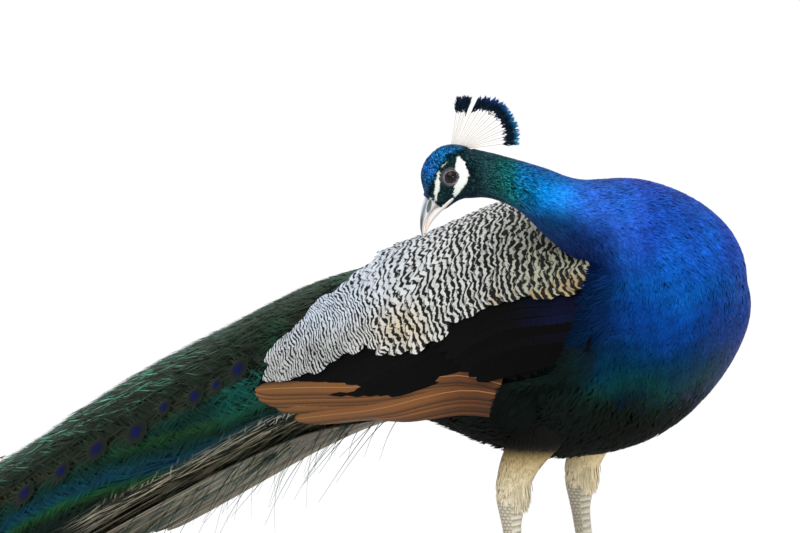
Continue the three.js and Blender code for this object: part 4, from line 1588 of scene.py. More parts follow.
@dataclass
class BodyCoat:
    """The one skin, and the short feathers of neck, breast, belly and head."""

    seed: int = 11
    skin: SkinForm = field(default_factory=SkinForm)
    neck: Coat = Coat(15, 2.5, 0.55, Blade(3, 1, 0.45, 0.35, 0.6, 0.0), 12, 0.3)
    neck_count: int = 64000
    belly: Coat = Coat(25, 3.4, 1.2, Blade(4, 1, 0.5, 0.4, 0.5, 0.0), 15, 0.35, 0.06)
    belly_count: int = 24000
    crown: Coat = Coat(4.2, 2.6, 1.2, Blade(3, 2, 0.6, 0.6, 0.45, 0.35), 28, 0.3)
    crown_count: int = 3600
    face: Coat = Coat(2.8, 1.2, 0.25, Blade(2, 1, 0.5, 0.5, 0.5, 0.0), 16, 0.3)
    face_count: int = 9000

    def lie(self, points: Array) -> Array:
        """Which way the coat lies.

        Args:
            points: (n, 3) places.

        Returns:
            From the bill over the head, down the neck, down the breast's front and back along
            the trunk and the belly.
        """
        neck = -NECK_TUBE.heading[NECK_TUBE.nearest(points)]
        x = points[:, 0]
        steep = ease(235, 345, x)[:, None]
        body = unit(np.array([-1.0, 0, -0.22]) * (1 - steep) + np.array([-0.42, 0, -1.0]) * steep)
        on_neck = ease(-22, 18, BODY_LOFT.distance(points))[:, None]
        way = body * (1 - on_neck) + neck * on_neck
        local = HEAD.local(points)
        on_head = ease(36, 22, np.linalg.norm(local - np.array([2, 0, 0]), axis=1))[:, None]
        return unit(way * (1 - on_head) - HEAD.axes[0] * on_head)

    def socket(self, points: Array) -> Array:
        """Presses the sockets in, and shapes the brows and lores, on the head's skin."""
        local = HEAD.local(points)
        x, y, z = np.moveaxis(local, -1, 0)
        near = np.linalg.norm(local, axis=-1) < FACE_REACH
        opening = np.hypot((x - EYE_AT[0]) / 7.0, (z - EYE_AT[1]) / 6.6)
        pressed = 7.5 * ease(1.12, 0.8, opening) * near
        brow = 0.9 * bump((x - 2) / 9, (z - 10.5) / 3) * near
        lores = 0.9 * bump((x - 14) / 5, (z - 1) / 4) * near
        gape = 0.7 * bump((x - 17) / 9, (z + 12.5 + 0.1 * x) / 1.1) * near
        local[..., 1] = y + np.sign(y) * (brow - lores - gape - pressed)
        return HEAD.place(local)

    def skin_tint(self, points: Array) -> Array:
        """The skin's colours: the coat's own, darker as painted shade in the gaps between feathers,
        most under the crown, with grey lids banded with painted highlight and shade, and the face's
        white patches.
        """
        local = HEAD.local(points)
        near = np.linalg.norm(local, axis=-1) < FACE_REACH
        cap = near * ease(-1, 1.5, local[:, 2] - np.interp(local[:, 0], *CAP_EDGE))
        # Painted shade: the skin a little darker than the coat, and far darker under the crown, so that
        # the gaps between feathers read dark.
        tint = coat_tint(points) * (0.9 - 0.6 * cap)[:, None]
        ring = np.hypot((local[:, 0] - EYE_AT[0]) / 9.8, (local[:, 2] - EYE_AT[1]) / 9.0)
        # Grey lids banded lighter and darker like their folds: painted highlight and painted shade.
        lid = linear(0x504E56) * (0.6 + 0.4 * np.sin(ring * 24))[:, None]
        tint = mix(tint, lid, ease(1.06, 0.92, ring) * near)
        return wash(tint, 0xE4ECE4, bare_share(local) * near)

    def build(self, legs: list["Leg"]) -> None:
        """Makes the skin and the coat's pieces.

        Args:
            legs: Whose thighs belong to the same skin.
        """
        body = tube_surface(self.socket(self.skin.chart.points), self.skin_tint)
        write_piece(
            "skin", joined(body, *(leg.skin() for leg in legs)), BARE_SKIN, "plumage_blue",
            "head", "neck_upper", "neck_lower", "breast", "trunk", "thigh_left", "thigh_right",
            tidy=True)
        rng = np.random.default_rng(self.seed)
        chart = self.skin.chart
        local = HEAD.local(chart.points)
        fore = np.linalg.norm(local, axis=-1)
        x, _, z = np.moveaxis(chart.points, -1, 0)
        on_head = fore < 34
        front = ease(262, 292, x + 0.7 * (z - 340)) * ease(250, 286, z)
        neck_weight = np.where(on_head, 0, front**0.6)
        neck_weight = neck_weight * np.interp(fore, [34, 60, 100, 200], [7, 3.4, 1.8, 1.0])
        roots = chart.scatter(rng, self.neck_count, neck_weight)
        near = np.linalg.norm(roots.place - HEAD.at, axis=1)
        scale = np.interp(near, [30, 50, 80, 130, 220], [0.2, 0.3, 0.5, 0.8, 1.0])
        first, second = np.quantile(near, [0.36, 0.68])
        for label, part in (("neck", near < first), ("breast", near >= second),
                            ("chest", (near >= first) & (near < second))):
            own = roots.keep(part)
            coat = hugging(self.neck, rng, own, self.lie(own.place), stroke_tint, scale[part],
                           scale[part])
            write_piece(f"coat_{label}", coat, PLUMAGE, "plumage_blue")
        belly_weight = np.where(on_head | (x < -110), 0, (1 - front) ** 0.6)
        belly_weight = belly_weight * (1 - 0.75 * ease(330, 390, z))
        roots = chart.scatter(rng, self.belly_count, belly_weight)
        under = ease(240, 205, roots.place[:, 2]) * ease(60, 130, roots.place[:, 0])
        loose = 1 + 3.5 * under * ease(270, 210, roots.place[:, 0])
        coat = hugging(
            self.belly, rng, roots, self.lie(roots.place), stroke_tint, 1.0, loose)
        write_piece("coat_belly", coat, DARK_PLUMAGE, "plumage_dark")
        self.build_head(rng, local, fore)

    def build_head(self, rng: Rng, local: Array, fore: Array) -> None:
        """Makes the crown's scale feathers and the face's short ones.

        Args:
            rng: The source of chance.
            local: The skin's points in the head's frame.
            fore: Their distances from the head's middle.
        """
        x, _, z = np.moveaxis(local, -1, 0)
        bare = bare_share(local)
        eye = np.hypot((x - EYE_AT[0] - 1.0) / 11.0, (z - EYE_AT[1]) / 9.8) < 1
        allowed = (fore < 40) & (bare < 0.4) & ~eye & (x < 27.5)
        crown = ease(-1, 1.5, z - np.interp(x, *CAP_EDGE)) * (x > -32)
        for label, coat, count, weight, tint in (
            ("crown", self.crown, self.crown_count, crown, scale_tint),
            ("face", self.face, self.face_count, 1 - 0.8 * crown, face_tint),
        ):
            roots = self.skin.chart.scatter(rng, count, np.where(allowed, weight, 0))
            feathers = hugging(coat, rng, roots, self.lie(roots.place), tint)
            write_piece(f"coat_{label}", feathers, HEAD_PLUMAGE, "plumage_face")


# ------------------------------------------------------------------ eyes, bill and crest
EYE_FINISH = Finish(
    "Wet eye", Pattern.GRAIN, roughness=0.3, specular=0.0, coat=0.5, coat_roughness=0.02,
    count=40, contrast=0.25, relief=0.00002, depth=0.05)
LID_FINISH = Finish(
    "Eyelid skin", Pattern.GRAIN, roughness=0.5, specular=0.25, count=14, contrast=0.25)
BILL_FINISH = Finish(
    "Bill horn", Pattern.GRAIN, roughness=0.36, specular=0.5, coat=0.15, coat_roughness=0.3,
    count=12, contrast=0.3, relief=0.0001, depth=0.25)
CLAW_FINISH = Finish(
    "Claw horn", Pattern.GRAIN, roughness=0.4, count=10, contrast=0.5, relief=0.0001)
QUILL_FINISH = Finish("Quills", Pattern.GRAIN, roughness=0.45, count=8, contrast=0.15)
CREST_FINISH = Finish(
    "Crest blades", roughness=0.4, metallic=0.3, specular=0.6, specular_tint=0x7FC0FF,
    count=4, contrast=0.35)


@dataclass
class Face:
    """Eyes with their lids, and the bill."""

    lid_rings: int = 15
    lid_sides: int = 72

    def eye(self, side: float) -> Surface:
        """An eyeball: a ball whose poles look out sideways, with iris and pupil."""
        polar = np.linspace(0.0, np.pi, 49)[1:-1, None]
        turn = turns(64)[None]
        radius = EYE_RADIUS * (1 + 0.03 * np.exp(-((polar / 0.5) ** 2)))
        x, z = radius * np.sin(polar) * np.cos(turn), radius * np.sin(polar) * np.sin(turn)
        y = radius * np.cos(polar) + 0 * turn
        centre = np.array([EYE_AT[0], EYE_OUT, EYE_AT[1]])
        local = (np.stack([x, y, z], -1) + centre) * np.array([1, side, 1])
        return tube_surface(HEAD.place(local), ramp(with_poles(np.degrees(polar + 0 * turn)), [
            (0, 0x010101), (25, 0x010101), (28, 0x1A0E0A), (37, 0x2A1710), (46, 0x140B08),
            (50, 0x080505), (60, 0x1A1210)]))

    def lids(self, side: float) -> Surface:
        """A ring of folded skin round an eye, with the fold's ridges as waves across it."""
        share = np.linspace(0, 1, self.lid_rings)[:, None]
        turn = turns(self.lid_sides)[None]
        inner, outer = (6.0, 5.8), (10.8, 9.8)
        width = inner[0] + (outer[0] - inner[0]) * share
        height = inner[1] + (outer[1] - inner[1]) * share
        pinch = 1 + 0.1 * np.abs(np.cos(turn)) ** 5 * (1 - share)
        x, z = width * np.cos(turn) * pinch, height * np.sin(turn)
        ball = np.sqrt(np.maximum(EYE_RADIUS**2 - x**2 - z**2, 0)) + EYE_OUT
        folds = 0.28 * np.sin(share * 3 * 2 * np.pi + 0.8 * np.sin(turn * 2)) * (1 - share)
        roll = 0.95 * np.sin(np.clip(share * 1.6, 0, 1) * np.pi) ** 0.6
        hood = 0.35 * ease(0, 1, np.sin(turn)) * (1 - share)
        crease = 0.12 * np.sin(turn * 26 + 5 * share) * share * (1 - share) * 4
        skull = 16.3 - 0.03 * (x**2) - 0.05 * z**2
        rim = np.maximum(ball + 0.12, skull - 1.2)
        y = rim * (1 - share) + (skull - 0.9) * share + roll + folds + hood + crease
        local = np.stack([x + EYE_AT[0], y, z + EYE_AT[1]], -1) * np.array([1, side, 1])
        faces = grid_faces(self.lid_rings, self.lid_sides, closed=True)
        if side > 0:
            faces = faces[:, ::-1]
        # Lighter bands on the folds' ridges and darker ones in the creases: painted highlight and
        # painted shade.
        shade = ramp((share + 0.06 * np.sin(turn * 9)).ravel(), [
            (0, 0x2A2024), (0.08, 0x8C8490), (0.22, 0x5A545C), (0.38, 0xA8A4AC),
            (0.52, 0x64606A), (0.68, 0x8C8890), (0.86, 0x48464A), (1, 0x161C1C)])
        t, a = (part.ravel() for part in np.broadcast_arrays(share, turn / (2 * np.pi)))
        return Surface(HEAD.place(local).reshape(-1, 3), faces, shade,
                       np.stack([t, a, 0 * a], -1), np.stack([a, t], -1))

    def nostril(self, x: Array, z: Array) -> Array:
        """How far out from the nostril's middle a place is, 1 at the rim of its slanting oval."""
        return np.hypot((x - 35.4) / 7.2, (z + 1.0 + 0.45 * (x - 35.4)) / 2.7)

    def mandible(self, upper: bool) -> Surface:
        """A mandible as ellipses across the bill's line, with a nostril pressed in above.

        Args:
            upper: True for the upper one.

        Returns:
            The closed surface with its tint.
        """
        if upper:
            rows = np.array([
                [22, 9.5, -8.8, 9.5], [28.5, 8.2, -7.2, 8.4], [35, 6.3, -6.2, 7], [43, 2.9, -6.4, 5.4],
                [51, -2.2, -9.1, 4.1], [57.4, -7.6, -12.6, 2.9], [61.2, -12.2, -16.2, 1.7],
                [63.2, -16.2, -18.2, 0.7]])
        else:
            rows = np.array([
                [14, -12, -15.8, 11.4], [18, -9.8, -15.9, 10.6], [24, -8.1, -15.4, 8.7],
                [30, -7.2, -14.5, 7.2], [36, -6.4, -13.8, 6], [43, -6.7, -13.6, 4.7],
                [50, -9.4, -14.3, 3.5], [56, -12.8, -15.6, 2.1], [58.6, -14.6, -16.4, 1.1]])
        dense = dense_rows(rows, 70)
        angle = turns(56)[None]
        x, top, bottom, half = (dense[:, k, None] for k in range(4))
        level, reach = (top + bottom) / 2, (top - bottom) / 2
        cos, sin = np.cos(angle), np.sin(angle)
        z = level + reach * np.sign(sin) * np.abs(sin) ** (0.82 if upper else 0.9)
        y = half * np.sign(cos) * np.abs(cos) ** (1.12 if upper else 0.9)
        if upper:
            oval = self.nostril(x, z)
            y = y * (1 - 0.24 * ease(1.0, 0.45, oval) + 0.07 * ease(1.5, 1.1, oval))
            edge = np.clip((z - (bottom + 2.2)) / 2.0, -1, 1)
            y = y * (1 + 0.04 * (1 - edge**2))

        def horn(points: Array) -> Array:
            """Pale horn, with the upper one's grey ridge and sides, nostril and pink tip, and painted
            highlight and shade.
            """
            x, _, z = np.moveaxis(HEAD.local(points), -1, 0)
            tops, lows = (np.interp(x, dense[:, 0], dense[:, k]) for k in (1, 2))
            share = (z - lows) / np.maximum(tops - lows, 0.5)
            if not upper:
                # Lower one: brightest in the middle as a painted highlight, darker at the top under the
                # upper one as painted shade.
                shade = ramp(share, [
                    (0, 0xD6D0C8), (0.5, 0xE6E2DE), (0.86, 0xDAD4D0), (1, 0xA8A0A4)])
                return wash(shade, 0xEBC4A4, ease(40, 58, x) * 0.6)
            # The pale band at 0.93, just under the top, is a painted highlight along the lit ridge.
            shade = ramp(share, [
                (0, 0xE4DCD2), (0.2, 0xE0DCD8), (0.36, 0xBEBCC0), (0.52, 0x8C8E98),
                (0.72, 0x6A707C), (0.84, 0x9AA0AE), (0.93, 0xE2E4EC), (1, 0xC8CCD8)])
            oval = self.nostril(x, z)
            shade = wash(shade, 0xDCE0E8, ease(1.34, 1.12, oval) * 0.85)
            shade = wash(shade, 0x3C483C, ease(1.0, 0.8, oval) * 0.95)
            dark = ease(44, 52, x) * ease(0.3, 0.55, share) * ease(0.98, 0.86, share)
            shade = wash(shade, 0x34343E, dark * 0.85)
            return wash(shade, 0xF0CDB4, ease(57, 62, x) * ease(0.75, 0.3, share) * 0.8)

        return tube_surface(HEAD.place(np.stack([x + 0 * y, y, z], -1)), horn)

    def build(self) -> None:
        """Makes both eyes with their lids, and the two mandibles."""
        for name, side in SIDES.items():
            write_piece(f"eyeball_{name}", self.eye(side), EYE_FINISH, "eye", f"eye_{name}",
                        tidy=True)
            write_piece(f"eyelids_{name}", self.lids(side), LID_FINISH, "plumage_face")
        for name in ("upper", "lower"):
            write_piece(f"{name}_mandible", self.mandible(name == "upper"), BILL_FINISH,
                        "bill_horn", f"bill_{name}", tidy=True)


@dataclass
class Crest:
    """A fan of bare pale shafts with tufts of barbs at their ends."""

    seed: int = 5
    feet: tuple[tuple[float, float], tuple[float, float]] = ((-23.0, 20.0), (-31.5, 7.0))
    tips: tuple[tuple[float, float, float], ...] = (
        (0, -65.7, 46.2), (1.7, -69.3, 42.7), (3.3, -71.8, 39.7), (5, -72.9, 35.6),
        (6, -76.8, 31.0), (8, -84, 24.4), (10.3, -87.4, 14.9), (12.7, -88.3, 5.2),
        (15.2, -86.4, -4.9), (18, -81.9, -15.2), (20.4, -75.9, -23.5), (22, -69.4, -28.3),
    )
    plumes: int = 23
    tuft: float = 14.5
    barbs: int = 120
    sag: Array = field(default_factory=lambda: np.array([-0.24, 0, -0.48]))
    parting: int = 6  # the first plume behind the fan's gap

    def paths(self, rng: Rng) -> tuple[Array, Array, Array]:
        """Each plume's foot, way out and length, in the head's frame.

        Args:
            rng: The source of chance.

        Returns:
            Feet, unit ways and lengths. The fan parts between the sixth plume and the seventh.
        """
        share = np.linspace(0, 1, self.plumes)
        front, back = (np.array([x, 0.0, z]) for x, z in self.feet)
        feet = front + (back - front) * share[:, None]
        feet[:, 1] = rng.normal(size=self.plumes) * 1.3
        number, x, z = np.array(self.tips).T
        own = np.arange(self.plumes)
        tips = np.stack([np.interp(own, number, x), rng.normal(size=self.plumes) * 2.5,
                         np.interp(own, number, z)], -1)
        length = np.linalg.norm(tips - feet, axis=1)
        way = (tips - feet) / length[:, None]
        return feet, way, length + 0.5 * rng.normal(size=self.plumes)

    def shafts(self, feet: Array, way: Array, length: Array) -> Surface:
        """Thin tapering shafts, thin ones between stout ones, each a flat strip in two planes."""
        blade = Blade(8, 1)
        t, s = (part[..., None] for part in blade.grid())
        thin = (np.arange(len(feet)) % 2)[:, None, None, None]
        spine = each(feet) + each(way) * each(length)[..., None] * (t * 1.07 - 0.07)
        spine = spine + t**2 * self.sag
        half = np.where(thin, 0.45, 1.1) * (0.3 - 0.14 * t) * s
        side = np.array([0.0, 1.0, 0.0])
        points = np.concatenate([spine + half * side, spine + each(unit(np.cross(way, side))) * half])
        chance = np.tile(np.linspace(0, 1, len(feet)), 2)
        tint = ramp(t[..., 0], [(0, 0xE6DACA), (0.45, 0xD8C2A8), (0.8, 0x9A7E62), (1, 0x2A2C36)])
        tint = tint * np.tile(np.where(thin, 0.5, 1.0), (2, 1, 1, 1))
        chart = np.stack([0.1 + 0.8 * chance, 0.2 + 0 * chance], -1)
        return feather_surface(blade, HEAD.place(points), tint, chance, chart)

    def tufts(self, rng: Rng, feet: Array, way: Array, length: Array) -> Surface:
        """Barbs that fan out from the last stretch of each shaft.

        Args:
            rng: The source of chance.
            feet: Feet of the shafts.
            way: Their ways out.
            length: Their lengths.

        Returns:
            Narrow blades, black inside and blue at the fan's rim towards its back.
        """
        plume = np.repeat(np.arange(len(feet)), self.barbs)
        share = np.tile((np.arange(self.barbs) + 0.5) / self.barbs, len(feet))
        chance = rng.random(len(plume))
        side = np.where(np.arange(len(plume)) % 2 == 0, 1.0, -1.0)
        last = plume == self.parting - 1
        side = np.where(last, -1.0, np.where(plume == self.parting, 1.0, side))
        back = plume / (len(feet) - 1)
        along = length[plume] - self.tuft + share**0.85 * (self.tuft - 4.6)
        along = along - 3.0 * (chance > 0.8) * (1 - share)
        stray = last & (share > 0.8)
        along = np.where(stray, length[plume] * (0.3 + 0.4 * share), along)
        root = feet[plume] + way[plume] * along[:, None]
        root = root + self.sag * ((along / length[plume]) ** 2)[:, None]
        beside = unit(np.cross(way[plume], [0.0, 1.0, 0.0]))
        depth = np.array([0.0, 1.0, 0.0])
        splay = 12 + 24 * rng.random(len(plume)) + 16 * (1 - share) * rng.random(len(plume))
        splay = np.radians(np.where(stray, 6.0, splay))
        roll = rng.normal(size=len(plume)) * 0.55
        out = beside * (np.cos(roll) * side)[:, None] + depth * np.sin(roll)[:, None]
        heading = unit(way[plume] * np.cos(splay)[:, None] + out * np.sin(splay)[:, None])
        reach = 4.4 + 2.2 * rng.random(len(plume))
        blade = Blade(3, 1, 0.7, 0.4, 0.6, 0)
        points = blades_from(
            blade, root, heading, reach, unit(np.cross(heading, depth + 0.5 * out)), 0.4)
        outer = each(along - length[plume]) + each(reach) * blade.grid()[0]
        blue = ramp(each(back) + 0 * outer, [
            (0, 0x141430), (0.25, 0x161C44), (0.45, 0x1C3C90), (0.7, 0x1E78BE), (1, 0x38A8D8)])
        tint = mix(linear(0x05070C), blue, ease(-6.5, -1.0, outer))
        tint = tint * (0.7 + 0.6 * each(chance))[..., None]
        chart = np.stack([0.1 + 0.8 * back, 0.3 + 0.6 * share], -1)
        return feather_surface(blade, HEAD.place(points), tint, chance, chart)

    def build(self) -> None:
        """Makes the shafts, which stand for the crest's solid, and the tufts."""
        rng = np.random.default_rng(self.seed)
        feet, way, length = self.paths(rng)
        write_piece("crest_shafts", self.shafts(feet, way, length), QUILL_FINISH,
                    "plumage_crest", "crest")
        write_piece("crest_tufts", self.tufts(rng, feet, way, length), CREST_FINISH,
                    "plumage_crest")


# ------------------------------------------------------------------ wings, back and tail
MANTLE = Finish(
    "Barred mantle", Pattern.BARS, roughness=0.62, specular=0.2, count=8.8, shaft=0x0E0D0C,
    relief=0.0002, depth=0.3)
FLIGHT_DARK = Finish(
    "Dark flight feathers", roughness=0.5, specular=0.045, specular_tint=0xE8ECFF,
    count=26, slant=1.6, contrast=0.2, shaft=0x050505, shaft_width=0.05, relief=0.0003)
FLIGHT_RUFOUS = Finish(
    "Rufous flight feathers", roughness=0.5, specular=0.2, count=46, slant=3.2, contrast=0.12,
    shaft=0x9A6E44, shaft_width=0.06, relief=0.0003)
TAIL_FINISH = Finish(
    "Tail feathers", roughness=0.6, specular=0.15, count=60, slant=4, contrast=0.3,
    shaft=0xD8D2C2, shaft_width=0.1, relief=0.0003)
BACK_FINISH = Finish(
    "Bronze back scales", roughness=0.34, metallic=0.35, specular=0.3, specular_tint=0xA8FFD0,
    count=6, contrast=0.25, relief=0.0003)

COVERTS_EDGE = [
    (324, 470), (330, 420), (320, 374), (290, 362), (245, 359), (195, 343), (144, 312),
    (112, 292), (80, 292), (50, 299), (-22, 270), (-82, 250), (-96, 256), (-91, 274),
    (-54, 309), (16, 368), (62, 470),
]
SECONDARIES_EDGE = [
    (324, 384), (314, 330), (290, 290), (250, 272), (200, 270), (150, 262), (48, 245),
    (-57, 236), (-96, 234), (-104, 242), (-84, 290), (60, 400),
]
PRIMARIES_EDGE = [
    (222, 271), (212, 252), (138, 230), (9, 214), (-30, 210), (-55, 209), (-60, 212),
    (-50, 216), (-88, 224), (-104, 228), (-104, 240), (-96, 250), (100, 300),
]


def panel_edge(panel: SidePanel, edge: Outline) -> Array:
    """An outline of (x, z) as (x, way down) on a panel.

    Args:
        panel: The panel.
        edge: Corners.

    Returns:
        (n, 2) corners, with three more along each side.
    """
    corners = np.array([*edge, edge[0]], dtype=float)
    dense = np.stack(
        [np.interp(np.arange(0, len(edge), 0.25), np.arange(len(corners)), corners[:, k])
         for k in (0, 1)], -1)
    return np.stack([dense[:, 0], panel.down_at(dense[:, 0], dense[:, 1])], -1)


def panel_sheet(
    panel: SidePanel, side: float, edge: Array, sink: float, shade: int, top: float = 0.0
) -> Surface:
    """The ground under a layer of feathers.

    Args:
        panel: The panel that the layer lies on.
        side: 1 for the left, -1 for the right.
        edge: Its outline in (x, way down).
        sink: How far under the panel it lies.
        shade: Its colour.
        top: The least way down.

    Returns:
        The panel's own grid inside the outline.
    """
    rows = np.arange(0, panel.grid.shape[0], 2)
    columns = np.arange(0, panel.grid.shape[1], 3)
    x, down = np.meshgrid(panel.x_low + rows * panel.x_step, columns * panel.down_step,
                          indexing="ij")
    flat = np.stack([x.ravel(), down.ravel()], -1)
    kept = inside(flat, edge) & (flat[:, 1] >= top)
    faces = grid_faces(len(rows), len(columns))
    faces = faces[kept[faces].all(1)]
    if side > 0:
        faces = faces[:, ::-1]
    used, numbers = np.unique(faces.ravel(), return_inverse=True)
    x, down = flat[used, 0], flat[used, 1]
    points, normals = panel.at(x, down, side)
    tint = np.broadcast_to(linear(shade), points.shape)
    vane = np.stack([0.02 * down, 0.001 * x, 0 * x], -1)
    return Surface(points - normals * sink, numbers.reshape(-1, 4), tint, vane,
                   panel.map_place(x, down, side))


@dataclass
class Wing:
    """One folded wing: barred coverts, dark secondaries and rufous primaries."""

    name: str
    side: float
    seed: int = 21
    mantle: SidePanel = field(default_factory=lambda: SidePanel(Layer.COVERTS.value, 5))
    middle: SidePanel = field(default_factory=lambda: SidePanel(Layer.SECONDARIES.value, 5))
    lower: SidePanel = field(default_factory=lambda: SidePanel(Layer.PRIMARIES.value, 5))
    lie: tuple[float, float] = (-0.93, 0.365)  # the way back along the wing, in x and down

    def along(self, x: Array, down: Array) -> Array:
        """Places on the coat from x and down, for the bars.

        Args:
            x: Places along the bird.
            down: Ways down from the back's middle.

        Returns:
            (along, across, dark share): the way along the wing, drawn out where the bars are
            fine, the way across it, and how much of each bar's pitch is dark.
        """
        back, under = self.lie
        along = back * x + under * down
        across = -under * x + back * down
        rear = ease(-170, 40, along)
        low = ease(110, 150, down + 0.25 * along)
        near = bump((across + 146) / 44)
        fine = along + 0.25 * np.maximum(along + 160, 0) + 1.3 * low * np.maximum(along - 10, 0)
        fine = fine - 9 * np.tanh((along + 44) / 26) * near
        fine = fine + 0.5 * (1 - low) * np.maximum(along - 30, 0)
        patches = 0.1 * np.sin(along * 0.09 + 0.05 * across) * np.sin(across * 0.08)
        wide = bump((along + 44) / 34) * near
        share = 0.66 - 0.22 * rear - 0.12 * rear * (1 - low) + patches * rear - 0.04 * wide
        return np.stack([fine, across, share], -1)

    def pale(self, points: Array, t: Array, chance: Array) -> Array:
        """The bars' ground: cream, buff at the lower front, and blue-white at the upper rear."""
        x, z = points[..., 0], points[..., 2]
        shade = wash(linear(0xA6A892), 0xD6D8D6, ease(280, 150, x))
        rise = z - np.interp(x, [-110, 60, 320], [250, 300, 372])
        buff = ease(30, 4, rise) * ease(120, 240, x) * (chance > 0.45) * 0.6
        shade = wash(shade, 0xA88A54, buff)
        patch = bump((x - 92) / 40, (z - 318) / 22)
        shade = wash(shade, 0xCDB88C, patch * 0.7)
        cool = ease(150, -30, x) * ease(5, 50, rise)
        shade = wash(shade, 0xC0CCDC, cool * 0.9)
        shade = shade * (1 - 0.3 * ease(60, 0, x) * ease(40, 10, rise))[..., None]
        rust = (chance > 0.72) * ease(26, 2, rise) * ease(200, 260, x)
        shade = wash(shade, 0x7A5226, rust * 0.35)
        return shade * (0.84 + 0.2 * chance)[..., None]

    def coverts(self, rng: Rng) -> Surface:
        """The mantle: rows of barred feathers, small in front and large behind.

        Args:
            rng: The source of chance.

        Returns:
            Feathers whose roots fill the outline. Rows stand a growing step apart, and each
            row's roots stand between those of the row before it.
        """
        edge = panel_edge(self.mantle, COVERTS_EDGE)
        back, under = self.lie
        places = []
        along, row = -340.0, 0
        while along < 190:
            share = np.clip((along + 320) / 480, 0, 1)
            step = 6.6 + 6.2 * share - 3.0 * ease(0.85, 1.0, share)
            across = np.arange(-330, 330, 1.12 * step) + (row % 2) * 0.56 * step
            places.append(np.stack([0 * across + along, across, 0 * across + step], -1))
            along += step * 0.86
            row += 1
        along, across, step = np.concatenate(places).T
        along = along + rng.normal(size=len(along)) * step * 0.14
        across = across + rng.normal(size=len(along)) * step * 0.12
        x, down = back * along - under * across, under * along + back * across
        length, width = 2.35 * step, 1.75 * step
        tip = np.stack([x + back * length * 0.8, down + under * length * 0.8], -1)
        root = np.stack([x, down], -1)
        kept = (inside(root, edge) | inside(tip, edge)) & inside(tip + [6, 0], edge)
        kept &= (down > 12) & (x < 322)
        x, down, length, width, along = (part[kept] for part in (x, down, length, width, along))
        hem_x, hem_z = (np.interp(np.arange(0, 6, 0.045), np.arange(6), part) for part in np.array(
            [(-40, 264), (-82, 250), (-92, 256), (-89, 273), (-52, 308), (18, 367)]).T)
        hem_down = self.mantle.down_at(hem_x, hem_z)
        reach = 24.0
        x, down = np.append(x, hem_x - back * reach), np.append(down, hem_down - under * reach)
        length, width = np.append(length, 0 * hem_x + reach), np.append(width, 0 * hem_x + 13)
        along = np.append(along, back * hem_x + under * hem_down)
        order = np.argsort(-along)
        x, down, length, width = (part[order] for part in (x, down, length, width))
        count = len(x)
        chance = rng.random(count)
        turn = rng.normal(size=count) * 0.07
        lift = 1.6 + 1.2 * rng.random(count)
        feathers = PanelFeathers(
            self.mantle, self.side, x, down, back * np.cos(turn) - under * np.sin(turn),
            under * np.cos(turn) + back * np.sin(turn), length, width, -4.0, lift)
        return feathers.built(Blade(5, 4, 0.55, 0.45, 0.42, 0.045), chance, self.pale, self.along)

    def rows(
        self, panel: SidePanel, roots: Outline, tips: Outline, width: float, count: int,
        low: float, high: float, step: float
    ) -> PanelFeathers:
        """Long feathers whose roots and tips are spread along two lines.

        Args:
            panel: Where they lie.
            roots: (x, z) corners of the roots' line, from the lowest feather to the topmost.
            tips: (x, z) corners of the tips' line.
            width: Their width.
            count: How many.
            low: Height of the roots over the panel.
            high: Height of the tips.
            step: How much higher each lies than the one before it.

        Returns:
            The feathers.
        """
        share = np.linspace(0, 1, count)

        def line(corners: Outline) -> tuple[Array, Array]:
            """x and way down at even shares of a line."""
            places = np.array(corners, dtype=float)
            spot = np.linspace(0, 1, len(places))
            x, z = (np.interp(share, spot, places[:, k]) for k in (0, 1))
            return x, panel.down_at(x, z)

        (x, down), (end_x, end_down) = line(roots), line(tips)
        length = np.hypot(end_x - x, end_down - down)
        way_x, way_down = (end_x - x) / length, (end_down - down) / length
        rise = step * np.arange(count)
        return PanelFeathers(
            panel, self.side, x, down, way_x, way_down, length, width, low + rise, high + rise)

    def layer(self, rng: Rng, blade: Blade, tint: Tinter, *rows: PanelFeathers) -> Surface:
        """Rows of feathers of one kind."""
        return joined(*(row.built(blade, rng.random(len(row.x)), tint) for row in rows))

    def dark(self, points: Array, t: Array, chance: Array) -> Array:
        """Secondaries' colour: black, with blue painted sheen on some feathers near the front."""
        x, z = points[..., 0], points[..., 2]
        # Painted sheen: a blue wash on some feathers near the front.
        blue = ease(225, 280, x) * ease(305, 340, z) * ease(0.4, 0.8, chance)
        shade = wash(linear(0x090807), 0x0A1A4C, blue * 0.25)
        return shade * (0.55 + 0.55 * chance)[..., None]

    def rufous(self, points: Array, t: Array, chance: Array) -> Array:
        """Primaries' colour: cinnamon, darker towards the tip and the root, with painted shadow along
        the edges.
        """
        x = points[..., 0]
        shade = wash(linear(0x5E3414), 0x8A5628, ease(190, 90, x))
        shade = wash(shade, 0x86582E, ease(0, -60, x))
        # Painted shadow along each feather's edges, where its neighbours overlap it.
        s = np.abs(np.linspace(-1, 1, points.shape[2]))
        shade = shade * (1 - 0.75 * ease(0.55, 1.0, s))[:, None]
        return shade * (0.68 + 0.5 * chance)[..., None]

